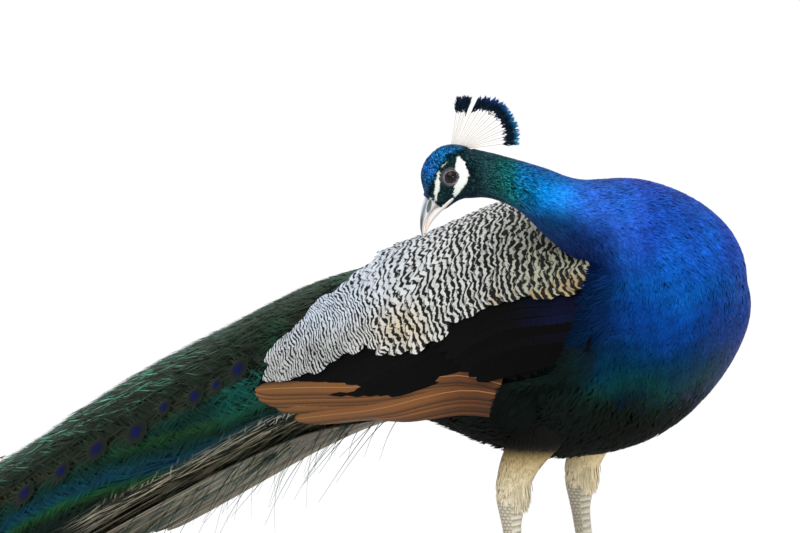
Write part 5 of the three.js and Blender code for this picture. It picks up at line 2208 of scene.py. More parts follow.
    def build(self) -> None:
        """Makes the wing's three layers, each over its ground."""
        rng = np.random.default_rng(self.seed)
        mantle = self.coverts(rng)
        blade = Blade(14, 4, 0.7, 0.3, 0.4, 0.03)
        upper = self.rows(
            self.middle, [(236, 300), (262, 318), (290, 345), (250, 350), (150, 340), (60, 330)],
            [(60, 250), (10, 243), (-60, 239), (-112, 238), (-104, 252), (-90, 268)], 40, 15,
            -4, 0.0, 0.22)
        front = self.rows(
            self.middle, [(316, 320), (320, 340), (322, 362)], [(190, 270), (160, 285), (130, 300)],
            34, 7, -4, 1.0, 0.25)
        dark = self.layer(rng, blade, self.dark, upper, front)
        round_tip = Blade(26, 4, 0.95, 0.9, 0.5, 0.05, 2.2)
        lower = self.rows(
            self.lower, [(200, 242), (204, 250), (210, 258)],
            [(-28, 210), (-44, 208), (-60, 208), (-68, 212)], 19, 5, -4, -1.0, 0.8)
        upper = self.rows(
            self.lower, [(212, 258), (214, 263), (218, 268)],
            [(-88, 221), (-106, 227), (-113, 232), (-113, 237)], 16, 5, -3, 3.4, 0.8)
        rufous = self.layer(rng, round_tip, self.rufous, lower, upper)
        for layer, stands_for, slot, feathers, finish, ground, panel, edge, sink, shade, top in (
            ("mantle", "coverts", "barred", mantle, MANTLE, FLIGHT_DARK, self.mantle,
             COVERTS_EDGE, 5.5, 0x2A2620, 14),
            ("secondaries", "secondaries", "secondaries", dark, FLIGHT_DARK, FLIGHT_DARK,
             self.middle, SECONDARIES_EDGE, 5.0, 0x0B0B0E, 60),
            ("primaries", "primaries", "primaries", rufous, FLIGHT_RUFOUS, FLIGHT_RUFOUS,
             self.lower, PRIMARIES_EDGE, 4.0, 0x5E3A22, 60),
        ):
            write_piece(f"{layer}_{self.name}", feathers, finish, f"plumage_{slot}",
                        f"wing_{self.name}_{stands_for}")
            sheet = panel_sheet(panel, self.side, panel_edge(panel, edge), sink, shade, top)
            write_piece(f"{layer}_ground_{self.name}", sheet, ground, f"plumage_{slot}")


@dataclass
class Flank:
    """Dark and blue feathers that run back over the fronts of the folded wings."""

    seed: int = 71
    panel: SidePanel = field(default_factory=lambda: SidePanel(0.0, 5))
    count: int = 8200  # a side
    front: tuple[tuple[float, ...], tuple[float, ...]] = (
        (232, 256, 270, 284, 300, 335, 384, 430, 475), (214, 216, 224, 286, 296, 312, 320, 325, 322))
    rise: tuple[tuple[float, ...], tuple[float, ...]] = (
        (240, 268, 285, 350, 372, 400), (7.0, 7.5, 10.5, 11.0, 15.5, 16.5))

    def shaded(self, points: Array, t: Array, chance: Array) -> Array:
        """The coat's colour, darker all over and darker still over the wing: painted shade."""
        x, z = points[..., 0], points[..., 2]
        # Painted shade: the coat at 0.8, and down to 0.45 where it lies over the wing's front.
        over = ease(16, -4, x - np.interp(z, *self.front))
        return stroke_tint(points, t, chance) * (0.8 - 0.35 * over)[..., None]

    def build(self) -> None:
        """Makes both sides' feathers, which rise over each layer of the wing at its front."""
        rng = np.random.default_rng(self.seed)
        made = {"blue": [], "dark": []}
        for side in SIDES.values():
            z = 232 + 240 * rng.random(self.count) ** 1.1
            edge = np.interp(z, *self.front)
            ahead = 1 + 34 * rng.random(self.count)
            length = ahead * 0.4 + 9 + 7 * rng.random(self.count)
            x = edge + ahead
            down = self.panel.down_at(x, z)
            slope = 0.85 - 0.6 * ease(395, 440, z) + 0.16 * rng.normal(size=self.count)
            way = unit(np.stack([-np.ones(self.count), slope, 0 * slope], -1))
            high = np.interp(z, *self.rise) + 1.6 * rng.random(self.count)
            high = high * ease(34, 8, ahead)
            low = high - 6.5
            for name, part in (("blue", z > 318), ("dark", z <= 318)):
                feathers = PanelFeathers(
                    self.panel, side, x[part], down[part], way[part, 0], way[part, 1],
                    length[part], 1.5 + 0.7 * rng.random(part.sum()), low[part], high[part],
                    2 * rng.normal(size=part.sum()))
                made[name].append(feathers.built(
                    Blade(4, 1, 0.5, 0.35, 0.6, 0), rng.random(part.sum()), self.shaded))
        write_piece("flank_blue", joined(*made["blue"]), PLUMAGE, "plumage_blue")
        write_piece("flank_dark", joined(*made["dark"]), DARK_PLUMAGE, "plumage_dark")


@dataclass
class Back:
    """Bronze-green scale feathers between the wings and over the train's root."""

    seed: int = 31
    panel: SidePanel = field(default_factory=lambda: SidePanel(Layer.TRAIN.value, 3))
    step: float = 8.0

    def tint(self, points: Array, t: Array, chance: Array) -> Array:
        """Bronze-green with a dark edge, bluer towards the neck and dark towards the train."""
        x = points[..., 0]
        shade = wash(linear(0x1C4A30), 0x0C3C70, ease(240, 320, x))
        shade = wash(shade, 0x121E16, ease(60, -60, x) * 0.85)
        shade = wash(shade, 0x080C0A, ease(0.6, 0.92, t))
        return shade * (0.6 + 0.7 * chance)[..., None]

    def build(self) -> None:
        """Makes rows of scales from the neck back, which widen over the train's root."""
        rng = np.random.default_rng(self.seed)
        x = np.arange(338, -150, -0.85 * self.step)
        down = np.arange(-110, 111, 1.1 * self.step)
        x, down = np.meshgrid(x, down, indexing="ij")
        down = down + 0.55 * self.step * (np.arange(len(x)) % 2)[:, None]
        x, down = x.ravel()[::-1], down.ravel()[::-1]
        reach = np.interp(x, [-150, -110, 0, 40, 330], [100, 96, 62, 30, 26])
        kept = np.abs(down) < reach
        x, down = x[kept], down[kept]
        x = x + rng.normal(size=len(x)) * 1.4
        count = len(x)
        rise = Layer.BACK.value * ease(-30, 60, x)
        grow = 1 + 0.9 * ease(60, -140, x)
        feathers = PanelFeathers(
            self.panel, 1.0, x, down + rng.normal(size=count), np.full(count, -1.0),
            0.12 * rng.normal(size=count), 2.4 * self.step * grow, 1.6 * self.step, rise - 5.0,
            Layer.BACK.value * ease(-30, 60, x - 16) + 0.8 + 1.5 * rng.random(count))
        scales = feathers.built(Blade(4, 4, 0.55, 0.5, 0.42, 0.06), rng.random(count), self.tint)
        write_piece("back_scales", scales, BACK_FINISH, "plumage_dark")


@dataclass
class Tail:
    """The true tail under the train: eighteen stiff feathers, closed to a long wedge."""

    seed: int = 41
    rows: Array = field(default_factory=lambda: np.array([
        [30, 222, 40, 8], [-70, 200, 56, 7], [-160, 164, 64, 6], [-260, 114, 71, 5],
        [-345, 70, 75, 4], [-391, 47, 76, 4],
    ], dtype=float))
    feathers: int = 18

    def build(self) -> None:
        """Makes the feathers from blades along the tail's own line."""
        rng = np.random.default_rng(self.seed)
        blade = Blade(22, 4, 0.75, 0.4, 0.3, 0.02)
        t, s = blade.grid()
        lane = np.linspace(-1, 1, self.feathers)
        order = np.argsort(-np.abs(lane))
        lane = each(lane[order])
        under = each((np.arange(self.feathers) % 2)[order])
        last = 5 - 0.25 * np.abs(lane) ** 2 - 0.12 * under
        place = smooth_rows(self.rows, t * last)
        x, level, half, thick = (place[..., k] for k in range(4))
        width = 15.5 * blade.width(t)
        y = lane * (half - 12) + width * s + 4 * lane * t
        crown = 1 - (y / half) ** 2
        stack = thick * (0.9 - 1.8 * under) + crown * 5 - 2 + 1.2 * (1 - s * s)
        stack = stack * np.where(under > 0, 0.9, 1.0)
        points = np.stack([x, y, level + stack], -1)
        chance = rng.random(self.feathers)
        shade = wash(linear(0x7E7769), 0x8C8472, t)
        shade = shade * (0.35 + 1.1 * each(chance))[..., None]
        chart = np.stack([(lane[:, 0, 0] + 1.1) / 2.4, 0 * chance + 0.5], -1)
        write_piece("tail_feathers", feather_surface(blade, points, shade, chance, chart),
                    TAIL_FINISH, "plumage_tail", "tail")


# ------------------------------------------------------------------ train
TRAIN_BARBS = Finish(
    "Train barbs", roughness=0.42, metallic=0.2, specular=0.25, specular_tint=0x9CFFE4,
    sheen=0.06, sheen_tint=0x80D0B0, count=2, contrast=0.2, relief=0.0002)
TRAIN_GROUND = Finish("Train ground", roughness=0.7, count=30, contrast=0.3)
SPOT_FINISH = Finish(
    "Eye spots", Pattern.SPOT, roughness=0.4, metallic=0.2, specular=0.2,
    specular_tint=0x8CB8FF)


@dataclass
class Train:
    """The long train: loose barbs over a core, with eye spots."""

    seed: int = 51
    panel: SidePanel = field(default_factory=lambda: SidePanel(Layer.TRAIN.value))
    start: float = -20.0
    end: float = -1340.0
    barbs: int = 30000  # a side
    loose: int = 110
    lanes: int = 30
    spot_barbs: int = 28
    near_spots: tuple[tuple[float, ...], ...] = (  # x, share of the height, size
        (-142, 0.54, 10.5), (-170, 0.51, 6.5), (-198, 0.51, 9.5), (-239, 0.54, 7.5),
        (-274, 0.47, 11.5), (-326, 0.49, 11), (-372, 0.48, 9), (-420, 0.47, 10),
        (-470, 0.47, 10))

    def height(self, points: Array) -> Array:
        """Share of the section's height, 0 at the underside and 1 on top."""
        top, bottom, *_ = BODY_LOFT.section(points[..., 0])
        return (points[..., 2] - bottom) / (top - bottom)

    def shade(self, points: Array, t: Array, chance: Array) -> Array:
        """The barbs' colours by place.

        Args:
            points: Their points.
            t: The way along each.
            chance: Each barb's own number.

        Returns:
            Bronze-black above with teal glints, bronze round the eye spots, then green and
            turquoise low on the sides, and black beneath.
        """
        x, _, z = np.moveaxis(points, -1, 0)
        w = self.height(points)
        wave = w + 0.12 * np.sin(0.0108 * (x + 266)) + 0.012 * np.sin(0.11 * x + 9 * chance)
        low = ramp(wave, [
            (0.0, 0x14130F), (0.09, 0x12110D), (0.115, 0x16260F), (0.135, 0x34641E),
            (0.155, 0x1A6038), (0.18, 0x0E525A), (0.22, 0x0A3E66), (0.26, 0x0C4654),
            (0.31, 0x0C241E), (0.35, 0x123A1C), (0.39, 0x2A5420), (0.42, 0x0C3A34),
            (0.46, 0x0E2C28)])
        high = ramp(w, [
            (0.42, 0x0C3A34), (0.48, 0x1C2418), (0.53, 0x262014), (0.60, 0x17170F),
            (0.72, 0x25261D), (0.86, 0x36372D), (1.0, 0x3C3E34)])
        side = mix(low * 0.42, high, ease(0.40, 0.48, w))
        side = wash(side, 0x0E5A50, ease(-190, -150, x) * ease(0.2, 0.28, w)
                   * ease(0.54, 0.46, w) * 0.45)
        side = wash(side, 0x121812, ease(-90, -40, x) * 0.7)
        streak = ease(0.17, 0.10, w) * ease(-400, -350, x) * ease(-30, -60, x)
        drab = wash(linear(0x3A342A), 0xB0A894, (chance > 0.62) * 1.0)
        side = mix(side, drab, streak * 0.9)
        glint = (chance > 0.85) * ease(0.6, 0.9, w)
        glint = glint * ease(-120, -340, x) * (1 - 0.5 * ease(-500, -700, x))
        side = wash(side, 0x6CC8B0, glint * 0.5)
        glow = bump((x + 104) / 13, (z - 298) / 20)
        side = wash(side, 0x1A5034, glow * 0.5)
        wild = 0.3 + 0.5 * ease(0.45, 0.6, w)
        return side * (0.78 - 0.5 * wild + 0.5 * t + 1.05 * wild * chance)[..., None]

    def girth(self, x: Array) -> Array:
        """The way down from the back's middle to the underside's at x."""
        places = self.panel.x_low + self.panel.x_step * np.arange(len(self.panel.length))
        return np.interp(x, places, self.panel.length)

    def core(self) -> Surface:
        """A closed dark core just under the barbs."""
        x = np.linspace(self.start - 30, self.end + 14, 150)
        lengths = self.girth(x)
        share = np.linspace(0, 1, 60)[None]
        sides = [self.panel.at(x[:, None] + 0 * share, share * lengths[:, None], side)
                 for side in (1.0, -1.0)]
        sunk = [points - normals * 6.5 for points, normals in sides]
        core = tube_surface(np.concatenate([sunk[0], sunk[1][:, ::-1]], 1), 0).above(0.5)
        still = np.zeros(len(core.points))
        core.tint = self.shade(core.points, still, still + 0.5) * 0.8
        return core

    def side_barbs(self, rng: Rng, side: float) -> Surface:
        """One side's barbs: two rows of them along each of many lanes.

        Args:
            rng: The source of chance.
            side: 1 for the left, -1 for the right.

        Returns:
            Narrow blades that leave their lane's shaft and bend back: nearly straight on top,
            short, broad and herringboned low on the side, and long and straight at the edge.
        """
        count = self.barbs
        x = self.start + (self.end + 20 - self.start) * rng.random(count) ** 1.15
        lengths = self.girth(x)
        lane = rng.integers(0, self.lanes, count)
        row = np.where(rng.random(count) < 0.5, -1.0, 1.0)
        sway = 5 * np.sin(x * 0.02 + lane * 2.1)
        down = (lane + 0.5) / self.lanes * lengths + sway + row * rng.random(count) * 2.4
        under = down / lengths
        w = self.height(self.panel.at(x, down, side)[0])
        low = ease(0.35, 0.5, under)
        edge = ease(0.22, 0.14, w) * (x > -400)
        low = low * (1 - edge)
        chance, noise = rng.random(count), rng.normal(size=count)
        angle = (7 + 6 * noise) * (1 - low) + (26 + 6 * noise) * low
        angle = np.radians(angle * (1 - edge) + 4 * noise * edge) * row
        length = 34 + 24 * chance - (14 + 14 * chance) * low + (18 + 6 * chance) * edge
        width = 1.3 + 0.8 * rng.random(count) + (1.6 + 0.3 * chance) * low
        lift = 0.6 + 3.4 * rng.random(count) ** 2
        bend = -row * length * (0.06 + 0.14 * low) * (1 - edge)
        kept = (under < 0.97) | (x < -400)
        sunk = -5.0 + 1.6 * low
        x, down, angle, length, width, lift, bend, sunk = (
            part[kept] for part in (x, down, angle, length, width, lift, bend, sunk))
        order = np.argsort(x)
        feathers = PanelFeathers(
            self.panel, side, x[order], down[order], -np.cos(angle)[order],
            np.sin(angle)[order], length[order], width[order], sunk[order], lift[order],
            -bend[order])
        blade = Blade(3, 1, 0.6, 0.35, 0.6, 0)
        return feathers.built(blade, rng.random(len(order)), self.shade).above(0.6)

    def spots(self, rng: Rng) -> tuple[Surface, Surface]:
        """Eye spots, each with a ring of bronze barbs round it.

        Args:
            rng: The source of chance.

        Returns:
            The spots and their barbs.
        """
        places = []
        for side in (1.0, -1.0):
            places += [[x, level, side, size] for x, level, size in self.near_spots]
            for row, x in enumerate(np.arange(-540, -1290, -58.0)):
                for lane in np.arange(18 if row % 2 else 47, 205, 60.0):
                    places.append([x + 7 * rng.normal(), lane + 6 * rng.normal(), side,
                                   12.5 + 5.5 * ease(-500, -1100, x)])
        x, level, side, size = np.array(places).T
        top, bottom, *_ = BODY_LOFT.section(x)
        down = np.where(level < 2, self.panel.down_at(x, bottom + (top - bottom) * level), level)
        level = np.where(level < 2, level, level / 260)
        rings, sides = 9, 21
        radius = np.linspace(0, 1, rings)[None, :, None]
        turn = np.linspace(0, 2 * np.pi, sides)[None, None]
        u, v = radius * np.cos(turn), radius * np.sin(turn)
        px, pd = each(x) - 1.25 * each(size) * u, each(down) + each(size) * v
        points, normals = self.panel.at(px, pd, each(side))
        points = points + normals * (4.2 + 1.6 * (1 - radius**2))[..., None]
        vane = np.stack(np.broadcast_arrays(u, v, each(rng.random(len(x)))), -1)
        faces = grid_faces(rings, sides) + each(rings * sides * np.arange(len(x)))
        faces = np.where(each(side > 0), faces[..., ::-1], faces)
        root = np.stack([(x + 1400) / 1900, 0.5 + side * 0.4 * level], -1)
        chart = each(root) + vane[..., :2] * BAKE_PATCH * 2
        points = points.reshape(-1, 3)
        spots = Surface(points, faces.reshape(-1, 4), np.broadcast_to(linear(0x241D12), points.shape),
                        vane.reshape(-1, 3), chart.reshape(-1, 2))
        own = np.repeat(np.arange(len(x)), self.spot_barbs)
        angle = np.tile(turns(self.spot_barbs), len(x)) + rng.normal(size=len(own)) * 0.08
        out = np.stack([-np.cos(angle), np.sin(angle)], -1)
        start = size[own] * (0.72 + 0.16 * rng.random(len(own)))
        fall = 0.5 + 0.9 * ease(-0.6, 1, np.cos(angle))
        bx, bd = x[own] + 1.25 * out[:, 0] * start, down[own] + out[:, 1] * start
        way = unit(out - [0.75, 0])
        rays = []
        for one in (1.0, -1.0):
            mine = side[own] == one
            length = (size[own] * fall * (0.9 + 0.4 * rng.random(len(own))))[mine]
            feathers = PanelFeathers(self.panel, one, bx[mine], bd[mine], way[mine, 0],
                                     way[mine, 1], length, 1.3, 4.6, 3.2)
            rays.append(feathers.built(
                Blade(2, 1, 0.8, 0.4, 0.5, 0), rng.random(mine.sum()), self.bronze))
        return spots.above(0.6), joined(*rays).above(0.6)

    def bronze(self, points: Array, t: Array, chance: Array) -> Array:
        """The spot's own barbs: bronze to green."""
        shade = wash(linear(0x2A2216), 0x16241A, t)
        return shade * (0.6 + 0.7 * chance)[..., None]

    def strands(self, rng: Rng) -> Surface:
        """Loose strands that stand off the train's outline and hang under it and the tail."""
        count = self.loose
        kind = rng.random(count)
        over = kind < 0.35
        x = np.where(over, -60 - 700 * rng.random(count), -20 - 330 * rng.random(count))
        side = np.where(rng.random(count) < 0.5, -1.0, 1.0)
        length = np.where(over, 24 + 30 * rng.random(count), 30 + 50 * rng.random(count))
        blade = Blade(6, 1)
        t, s = blade.grid()
        top, bottom, half, *_ = BODY_LOFT.section(x)
        y = np.where(over, side * half * 0.6 * rng.random(count), side * half * 0.8 * rng.random(count))
        z = np.where(over, bottom + (top - bottom) * np.sqrt(np.maximum(1 - (y / half) ** 2, 0)),
                     np.interp(x, [-390, -345, -260, -160, -70, 10], [47, 70, 114, 164, 200, 217]))
        drop = np.where(over, 0.2, 0.75 + 0.3 * rng.random(count))
        slope = np.interp(x, [-700, -400, -20], [0.1, 0.42, 0.33])
        fall = np.where(over, -0.1, 0.1 + 0.5 * rng.random(count))
        back = unit(np.stack([-np.ones(count), 0.2 * rng.normal(size=count), -slope - fall], -1))
        curl = rng.normal(size=(count, 1, 1)) * 0.4
        path = each(np.stack([x, y, z], -1)) + each(back) * (each(length) * t)[..., None]
        arc = each(length) * t**2
        path = path + np.stack([0 * arc, arc * curl, -0.55 * each(drop) * arc], -1)
        wide = each(unit(np.cross(back, [0.0, 1.0, 0.0])))
        points = path + wide * ((0.55 - 0.4 * t) * s)[..., None]
        chance = rng.random(count)
        shade = wash(linear(0x14201A), 0x3A5A4A, each(chance) * t)
        chart = np.stack([0.1 + 0.8 * chance, 0 * chance + 0.97], -1)
        return feather_surface(blade, points, shade, chance, chart).above(3.0)

    def fringe(self, rng: Rng) -> Surface:
        """Barbs past the train's end, round its rim."""
        count = 2600
        angle = np.radians(rng.uniform(-64, 64, count))
        y = 118 * np.sin(angle) * (0.5 + 0.5 * rng.random(count))
        x = -1290 + 78 * (y / 110) ** 2 - 24 * rng.random(count)
        z = 4 + 14 * rng.random(count)
        way = unit(np.stack([-np.cos(angle), 0.3 * np.sin(angle), -0.05 + 0 * angle], -1))
        blade = Blade(3, 1, 0.7, 0.3, 0.6, 0)
        t = blade.grid()[0]
        wide = unit(np.cross(way, [0.0, 0.0, 1.0]))
        points = blades_from(
            blade, np.stack([x, y, z], -1), way, 40 + 22 * rng.random(count), wide, 1.1)
        points[..., 2] = np.maximum(points[..., 2] - 6 * t**2, 0.6)
        chance = rng.random(count)
        shade = self.shade(points, t, each(chance))
        chart = np.stack([0.05 + 0.9 * (y + 130) / 260, 0 * y + 0.02], -1)
        return feather_surface(blade, points, shade, chance, chart)

    def build(self) -> None:
        """Makes the core, the barbs, the spots and the loose strands."""
        rng = np.random.default_rng(self.seed)
        slot = "plumage_train"
        write_piece("train_core", self.core(), TRAIN_GROUND, slot, "train_base", "train_middle",
                    "train_end", tidy=True)
        for name, side in SIDES.items():
            write_piece(f"train_barbs_{name}", self.side_barbs(rng, side), TRAIN_BARBS, slot)
        spots, rays = self.spots(rng)
        write_piece("train_spots", spots, SPOT_FINISH, slot)
        write_piece("train_spot_barbs", rays, TRAIN_BARBS, slot)
        write_piece("train_strands", self.strands(rng), TRAIN_BARBS, slot)
        write_piece("train_fringe", self.fringe(rng), TRAIN_BARBS, slot)


# ------------------------------------------------------------------ legs
SCALE_FINISH = Finish(
    "Leg scales", Pattern.GRAIN, roughness=0.48, specular=0.4, count=20, contrast=0.3,
    relief=0.00015, depth=0.3)
TOES = {  # length, degrees inward of straight ahead, radius at the root
    "middle": (64.0, 4.0, 6.4), "inner": (44.0, 34.0, 5.8), "outer": (50.0, -30.0, 5.8),
    "hind": (21.0, 168.0, 4.8),
}
ANKLE_X = 205.0
CLAW_LENGTH = 14.0


@dataclass
class Leg:
    """One leg: feathered thigh, scaled shank with its spur, and four clawed toes."""

    name: str
    side: float
    seed: int = 61
    thigh: Limb = field(init=False)
    shank: Limb = field(init=False)

    def __post_init__(self) -> None:
        """Lays out both tubes."""
        self.thigh = leg_tube(THIGH, self.side)
        self.shank = leg_tube(SHANK, self.side)

    @property
    def ankle(self) -> Array:
        """The foot's middle on the floor."""
        forward = leg_shift(self.side, np.array(0.0))[0]
        return np.array([ANKLE_X + float(forward), self.side * LEG_SPREAD, 0.0])

    def skin(self) -> Surface:
        """The thigh's skin, under its feathers."""
        return tube_surface(self.thigh.rings(22, 36, -4.5), linear(0xA39272))

    def buff(self, points: Array, t: Array, chance: Array) -> Array:
        """Thigh feathers' colour: buff, whiter towards the hock and black at the belly, with painted
        light on the left leg.
        """
        z = points[..., 2]
        shade = ramp(z, [(110, 0xE4DCC8), (160, 0xDACBA8), (180, 0xC4B083), (190, 0x9A8458),
                         (197, 0x24211A), (204, 0x0B0D0A)])
        # Painted light: the left leg's feathers are 0.3 brighter than the right's.
        light = 0.86 + 0.12 * t + 0.1 * chance + 0.3 * (self.side > 0)
        return shade * light[..., None]

    def feathers(self, rng: Rng) -> tuple[Surface, Surface]:
        """Short feathers down the thigh, and a loose flap over the front of the hock.

        Args:
            rng: The source of chance.

        Returns:
            Both, as blades over the thigh's tube.
        """
        rings = self.thigh.rings(60, 60, -4.0)
        outward = rings - rings.mean(1, keepdims=True)
        chart = Chart(rings, grid_normals(rings, True, outward))
        coat = Coat(13, 3.0, 0.45, Blade(3, 1, 0.5, 0.35, 0.6, 0), 11, 0.3)
        row = np.linspace(0, 1, 60)[:, None]
        roots = chart.scatter(rng, 4200, ease(0.97, 0.9, row + np.zeros(60)))
        roots.chart = 0.02 + roots.chart * 0.1 + np.array([0.85, 0.0])
        way = np.broadcast_to(np.array([-0.05, 0.0, -1.0]), roots.place.shape)
        short = hugging(coat, rng, roots, way, self.buff, shape=lambda points: np.minimum(
            self.thigh.distance(points), self.shank.distance(points)))
        front = np.clip(np.cos(turns(60)[None] - self.front()) - 0.45, 0, 1)
        count = 560
        roots = chart.scatter(rng, count, ease(0.66, 0.8, row) * ease(0.98, 0.9, row) * front)
        blade = Blade(4, 1, 0.6, 0.35, 0.5, 0)
        way = unit(np.array([0.06, 0.0, -1.0]) + 0.05 * rng.normal(size=roots.place.shape))
        outward = unit(roots.normal * np.array([1.0, 1.0, 0.0]))
        length, lift = 12 + 9 * rng.random(count), 2.0 + 1.8 * rng.random(count)
        points = blades_from(blade, roots.place + outward * lift[:, None], way, length,
                             np.cross(way, outward), 1.0)
        chance = rng.random(count)
        shade = self.buff(points, blade.grid()[0], each(chance))
        loose = feather_surface(blade, points, shade, chance, 0.95 + 0.04 * roots.chart)
        return short, loose

    def front(self) -> float:
        """The angle round the thigh's rings that faces forward."""
        deep = self.thigh.deep[-1]
        return 0.0 if deep[0] > 0 else np.pi

    def shank_surface(self) -> Surface:
        """The scaled shank: broad plates in front, small ones behind and at the sides."""
        count, sides = 260, 72
        rings = self.shank.rings(count, sides)
        centre = rings.mean(1, keepdims=True)
        outward = unit(rings - centre)
        drop = np.linalg.norm(rings[:, :1] - rings[:1, :1], axis=-1)
        turn = turns(sides)[None] - self.front()
        fore = ease(0.35, 0.6, np.cos(turn))
        aft = ease(0.45, 0.75, -np.cos(turn))
        plate = (drop / 6.6 + 0.12 * np.cos(turn * 2)) % 1.0
        lip = np.minimum(plate / 0.86, (1 - plate) / 0.14)
        scale_row = drop / 3.3
        scale_column = turn * 7 / np.pi + 0.5 * (np.floor(scale_row) % 2)
        cell = np.hypot(2 * (scale_row % 1 - 0.5), 2 * (scale_column % 1 - 0.5))
        bead = 1 - np.clip(cell, 0, 1.15) ** 3
        rear = (drop / 4.4) % 1.0
        rear_lip = np.minimum(rear / 0.8, (1 - rear) / 0.2)
        relief = fore * 0.75 * lip + aft * 0.6 * rear_lip + (1 - fore - aft) * 0.42 * bead
        points = rings + outward * (relief - 0.4)[..., None]
        shade = ramp(with_poles(relief), [(0, 0x8C8370), (0.35, 0xC4BCA8), (0.8, 0xE2DCCC)])
        return tube_surface(points, lambda all_points: wash(
            shade, 0xA59F94, ease(60, 10, all_points[:, 2]) * 0.55))

    def toe(self, label: str) -> tuple[Surface, Surface]:
        """A toe with plates above and pads below, and its claw.

        Args:
            label: Which of the four.

        Returns:
            The toe and the claw, both closed.
        """
        length, degrees, thick = TOES[label]
        angle = -self.side * np.radians(degrees)
        t, turn = np.linspace(0, 1, 72)[:, None], turns(36)[None]
        radius = thick * (1 - 0.28 * t)
        joints = 0.06 * np.cos(t * length / 17 * 2 * np.pi) * (t > 0.12)
        plate = (t * length / 3.4) % 1.0
        lip = np.minimum(plate / 0.8, (1 - plate) / 0.2)
        above = ease(0.1, 0.5, np.sin(turn))
        relief = 0.42 * lip * above + 0.2 * np.sin(t * length * 2.4) * np.sin(turn * 9) * (1 - above)
        height = thick * 0.82 + 6 * (1 - t) ** 3
        wide = radius * (1 + joints) * 0.96 + relief
        end = np.sqrt(np.clip(1 - np.clip((t - 0.93) / 0.075, 0, 1) ** 2, 0.05, 1))
        across = wide * np.cos(turn) * end
        up = np.maximum(height + wide * np.sin(turn) * end, 0.4)
        toe = tube_surface(self.laid(angle, t * length, across, up), ramp(
            with_poles(relief), [(-0.2, 0x7D7566), (0.1, 0xA79F8E), (0.42, 0xCBC3B2)]))
        t, turn = np.linspace(0, 1, 30)[:, None], turns(28)[None]
        size = 3.5 * (1 - t) ** 0.72 * np.sqrt(np.clip(t / 0.05, 0.3, 1))
        lift = 4.4 + 1.2 * np.sin(t * np.pi) - 3.6 * t**2
        claw = self.laid(angle, length - 3 + (CLAW_LENGTH + 3.5) * t, 0.82 * size * np.cos(turn),
                         np.maximum(lift + size * np.sin(turn), 0.35))
        return toe, tube_surface(claw, ramp(
            with_poles(t + 0 * turn), [(0, 0x6B5E50), (0.5, 0x4A4038), (1, 0x2A2420)]))

    def laid(self, angle: float, along: Array, across: Array, up: Array) -> Array:
        """Points from the foot's middle, ahead at an angle, across that way and up."""
        ahead = np.array([np.cos(angle), np.sin(angle), 0.0])
        aside = np.array([-np.sin(angle), np.cos(angle), 0.0])
        flat = self.ankle + ahead * (along + 0 * across)[..., None] + aside * across[..., None]
        return flat + np.array([0, 0, 1.0]) * up[..., None]

    def ball(self) -> Surface:
        """The foot's middle, where the toes meet."""
        polar = np.linspace(0, np.pi, 26)[1:-1, None]
        turn = turns(40)[None]
        bumps = 0.3 * np.sin(polar * 22) * np.sin(turn * 12)
        size = np.array([13.2, 12.2, 13.0])
        unit_ball = np.stack([np.sin(polar) * np.cos(turn), np.sin(polar) * np.sin(turn),
                              np.cos(polar) + 0 * turn], -1)
        points = self.ankle + np.array([0, 0, 10.0]) + unit_ball * (size + bumps[..., None])
        return tube_surface(points, linear(0xA79F8E)).above(0.4)

    def spur(self) -> Surface:
        """The spur behind the shank: a blunt curved cone."""
        forward, lift = leg_shift(self.side, np.array(58.0))
        root = np.array([197.0 + float(forward), self.side * LEG_SPREAD, 58.0 + float(lift)])
        rise, inward = np.radians([22.0, 32.0])
        way = np.array([-np.cos(rise) * np.cos(inward), -self.side * np.cos(rise) * np.sin(inward),
                        np.sin(rise)])
        beside = unit(np.cross(way, [0, 0, 1.0]))
        up = np.cross(beside, way)
        t, turn = np.linspace(0, 1, 26)[:, None], turns(24)[None]
        size = 4.6 * (1 - t**1.3) ** 0.75 + 0.15 * np.cos(t * 40) * (1 - t)
        centre = root + way * (4 + 20 * t)[..., None] + up * (2.2 * t**2)[..., None]
        points = centre + beside * (size * np.cos(turn))[..., None]
        return tube_surface(points + up * (size * np.sin(turn))[..., None], ramp(
            with_poles(t + 0 * turn), [(0, 0xB7AD9A), (0.4, 0x8E8271), (1, 0x4A4238)]))

    def build(self) -> None:
        """Makes the leg's pieces."""
        name = self.name
        short, loose = self.feathers(np.random.default_rng(self.seed))
        write_piece(f"thigh_feathers_{name}", short, BUFF_PLUMAGE, "plumage_thigh")
        write_piece(f"hock_feathers_{name}", loose, BUFF_PLUMAGE, "plumage_thigh")
        write_piece(f"shank_scales_{name}", self.shank_surface(), SCALE_FINISH, "leg_scales",
                    f"shank_{name}", tidy=True)
        toes, claws = zip(*(self.toe(label) for label in TOES))
        write_piece(f"toes_{name}", joined(self.ball(), *toes), SCALE_FINISH, "leg_scales",
                    f"foot_{name}", tidy=True)
        write_piece(f"claws_{name}", joined(*claws), CLAW_FINISH, "claw_horn",
                    *(f"claw_{name}_{label}" for label in TOES), tidy=True)
        write_piece(f"spur_horn_{name}", self.spur(), CLAW_FINISH, "claw_horn", f"spur_{name}",
                    tidy=True)


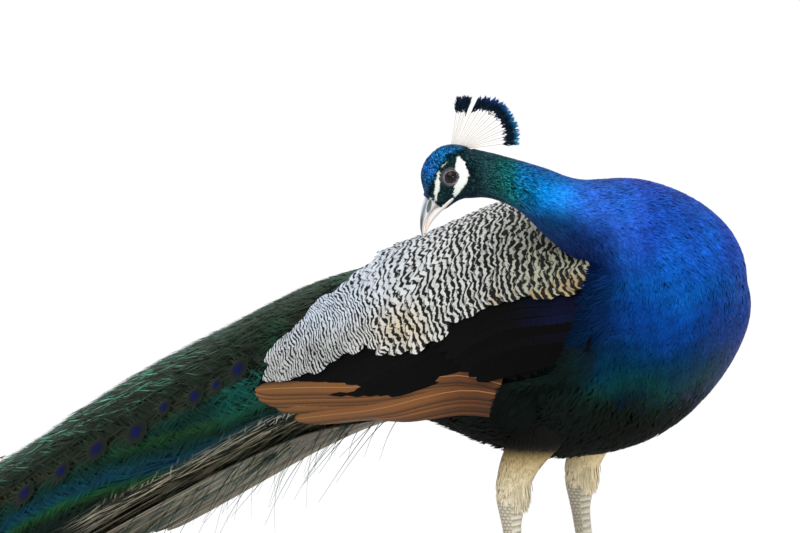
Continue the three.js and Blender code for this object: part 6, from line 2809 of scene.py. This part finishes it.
# ------------------------------------------------------------------ studio
@dataclass(frozen=True)
class Studio:
    """The floor, the lights and the camera."""

    turn_deg: float = 38.0
    rise_deg: float = 5.0
    far: float = 5000.0
    target: tuple[float, float, float] = (123.13, -157.6, 384.0)
    lens: float = 225.0
    floor_radius: float = 60.0
    floor_shade: int = 0xEFF0F0
    sky: float = 0.62
    lamps: tuple[tuple[str, float, float, tuple[float, float, float]], ...] = (
        ("key", 1.5, 50, (0.35, -0.75, 0.95)), ("top", 0.7, 70, (-0.3, 0.25, 1.0)),
        ("spark", 0.6, 11, (0.95, -0.3, 0.12)))  # name, strength, spread and where from

    def floor(self) -> None:
        """A wide pale disc at the feet's level."""
        turn = turns(96)
        rim = np.stack([np.cos(turn), np.sin(turn), 0 * turn], -1) * self.floor_radius
        mesh = bpy.data.meshes.new("floor")
        mesh.from_pydata(rim.tolist(), [], [list(range(len(rim)))])
        material = bpy.data.materials.new("Studio floor")
        material.use_nodes = True
        shader = material.node_tree.nodes["Principled BSDF"]
        shader.inputs["Base Color"].default_value = (*linear(self.floor_shade), 1.0)
        shader.inputs["Roughness"].default_value = 1.0
        shader.inputs["Specular IOR Level"].default_value = 0.0
        mesh.materials.append(material)
        disc = add_object("floor", mesh)
        disc.location.z = -0.0005

    def light(
        self, name: str, strength: float, spread_deg: float, way: tuple[float, float, float]
    ) -> None:
        """A broad lamp at a great distance.

        Args:
            name: Its name.
            strength: Watts to the square metre.
            spread_deg: How wide it looks from the bird.
            way: The direction that it comes from.
        """
        lamp = bpy.data.lights.new(name, "SUN")
        lamp.energy = strength
        lamp.angle = np.radians(spread_deg)
        self.face(add_object(name, lamp), way)

    def face(self, thing: bpy.types.Object, way: Array | tuple[float, float, float]) -> None:
        """Turns a lamp or a camera so that its back is towards a way."""
        thing.rotation_euler = Vector(way).to_track_quat("Z", "Y").to_euler()

    def build(self) -> None:
        """Sets the world, the lights, the floor and the camera."""
        world = bpy.data.worlds.new("Studio")
        bpy.context.scene.world = world
        world.use_nodes = True
        back = world.node_tree.nodes["Background"]
        back.inputs["Color"].default_value = (1.0, 1.0, 1.0, 1.0)
        back.inputs["Strength"].default_value = self.sky
        for lamp in self.lamps:
            self.light(*lamp)
        self.floor()
        turn, rise = np.radians([self.turn_deg, self.rise_deg])
        way = np.array([np.sin(turn) * np.cos(rise), -np.cos(turn) * np.cos(rise), np.sin(rise)])
        lens = bpy.data.cameras.new("camera")
        lens.lens = self.lens
        lens.sensor_width = 36.0
        lens.clip_end = 200.0
        camera = add_object("camera", lens)
        camera.location = (np.array(self.target) + way * self.far) * MM + ORIGIN
        self.face(camera, way)
        bpy.context.scene.camera = camera
        bpy.context.scene.view_settings.view_transform = "Standard"


def main() -> None:
    """Builds the bird and its studio."""
    logging.basicConfig(level=logging.INFO, format="%(message)s")
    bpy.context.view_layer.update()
    legs = [Leg(name, side) for name, side in SIDES.items()]
    BodyCoat().build(legs)
    wings = [Wing(name, side) for name, side in SIDES.items()]
    for part in (Face(), Crest(), *wings, Flank(), Back(), Tail(), Train(), *legs, Studio()):
        part.build()


if __name__ == "__main__":
    main()
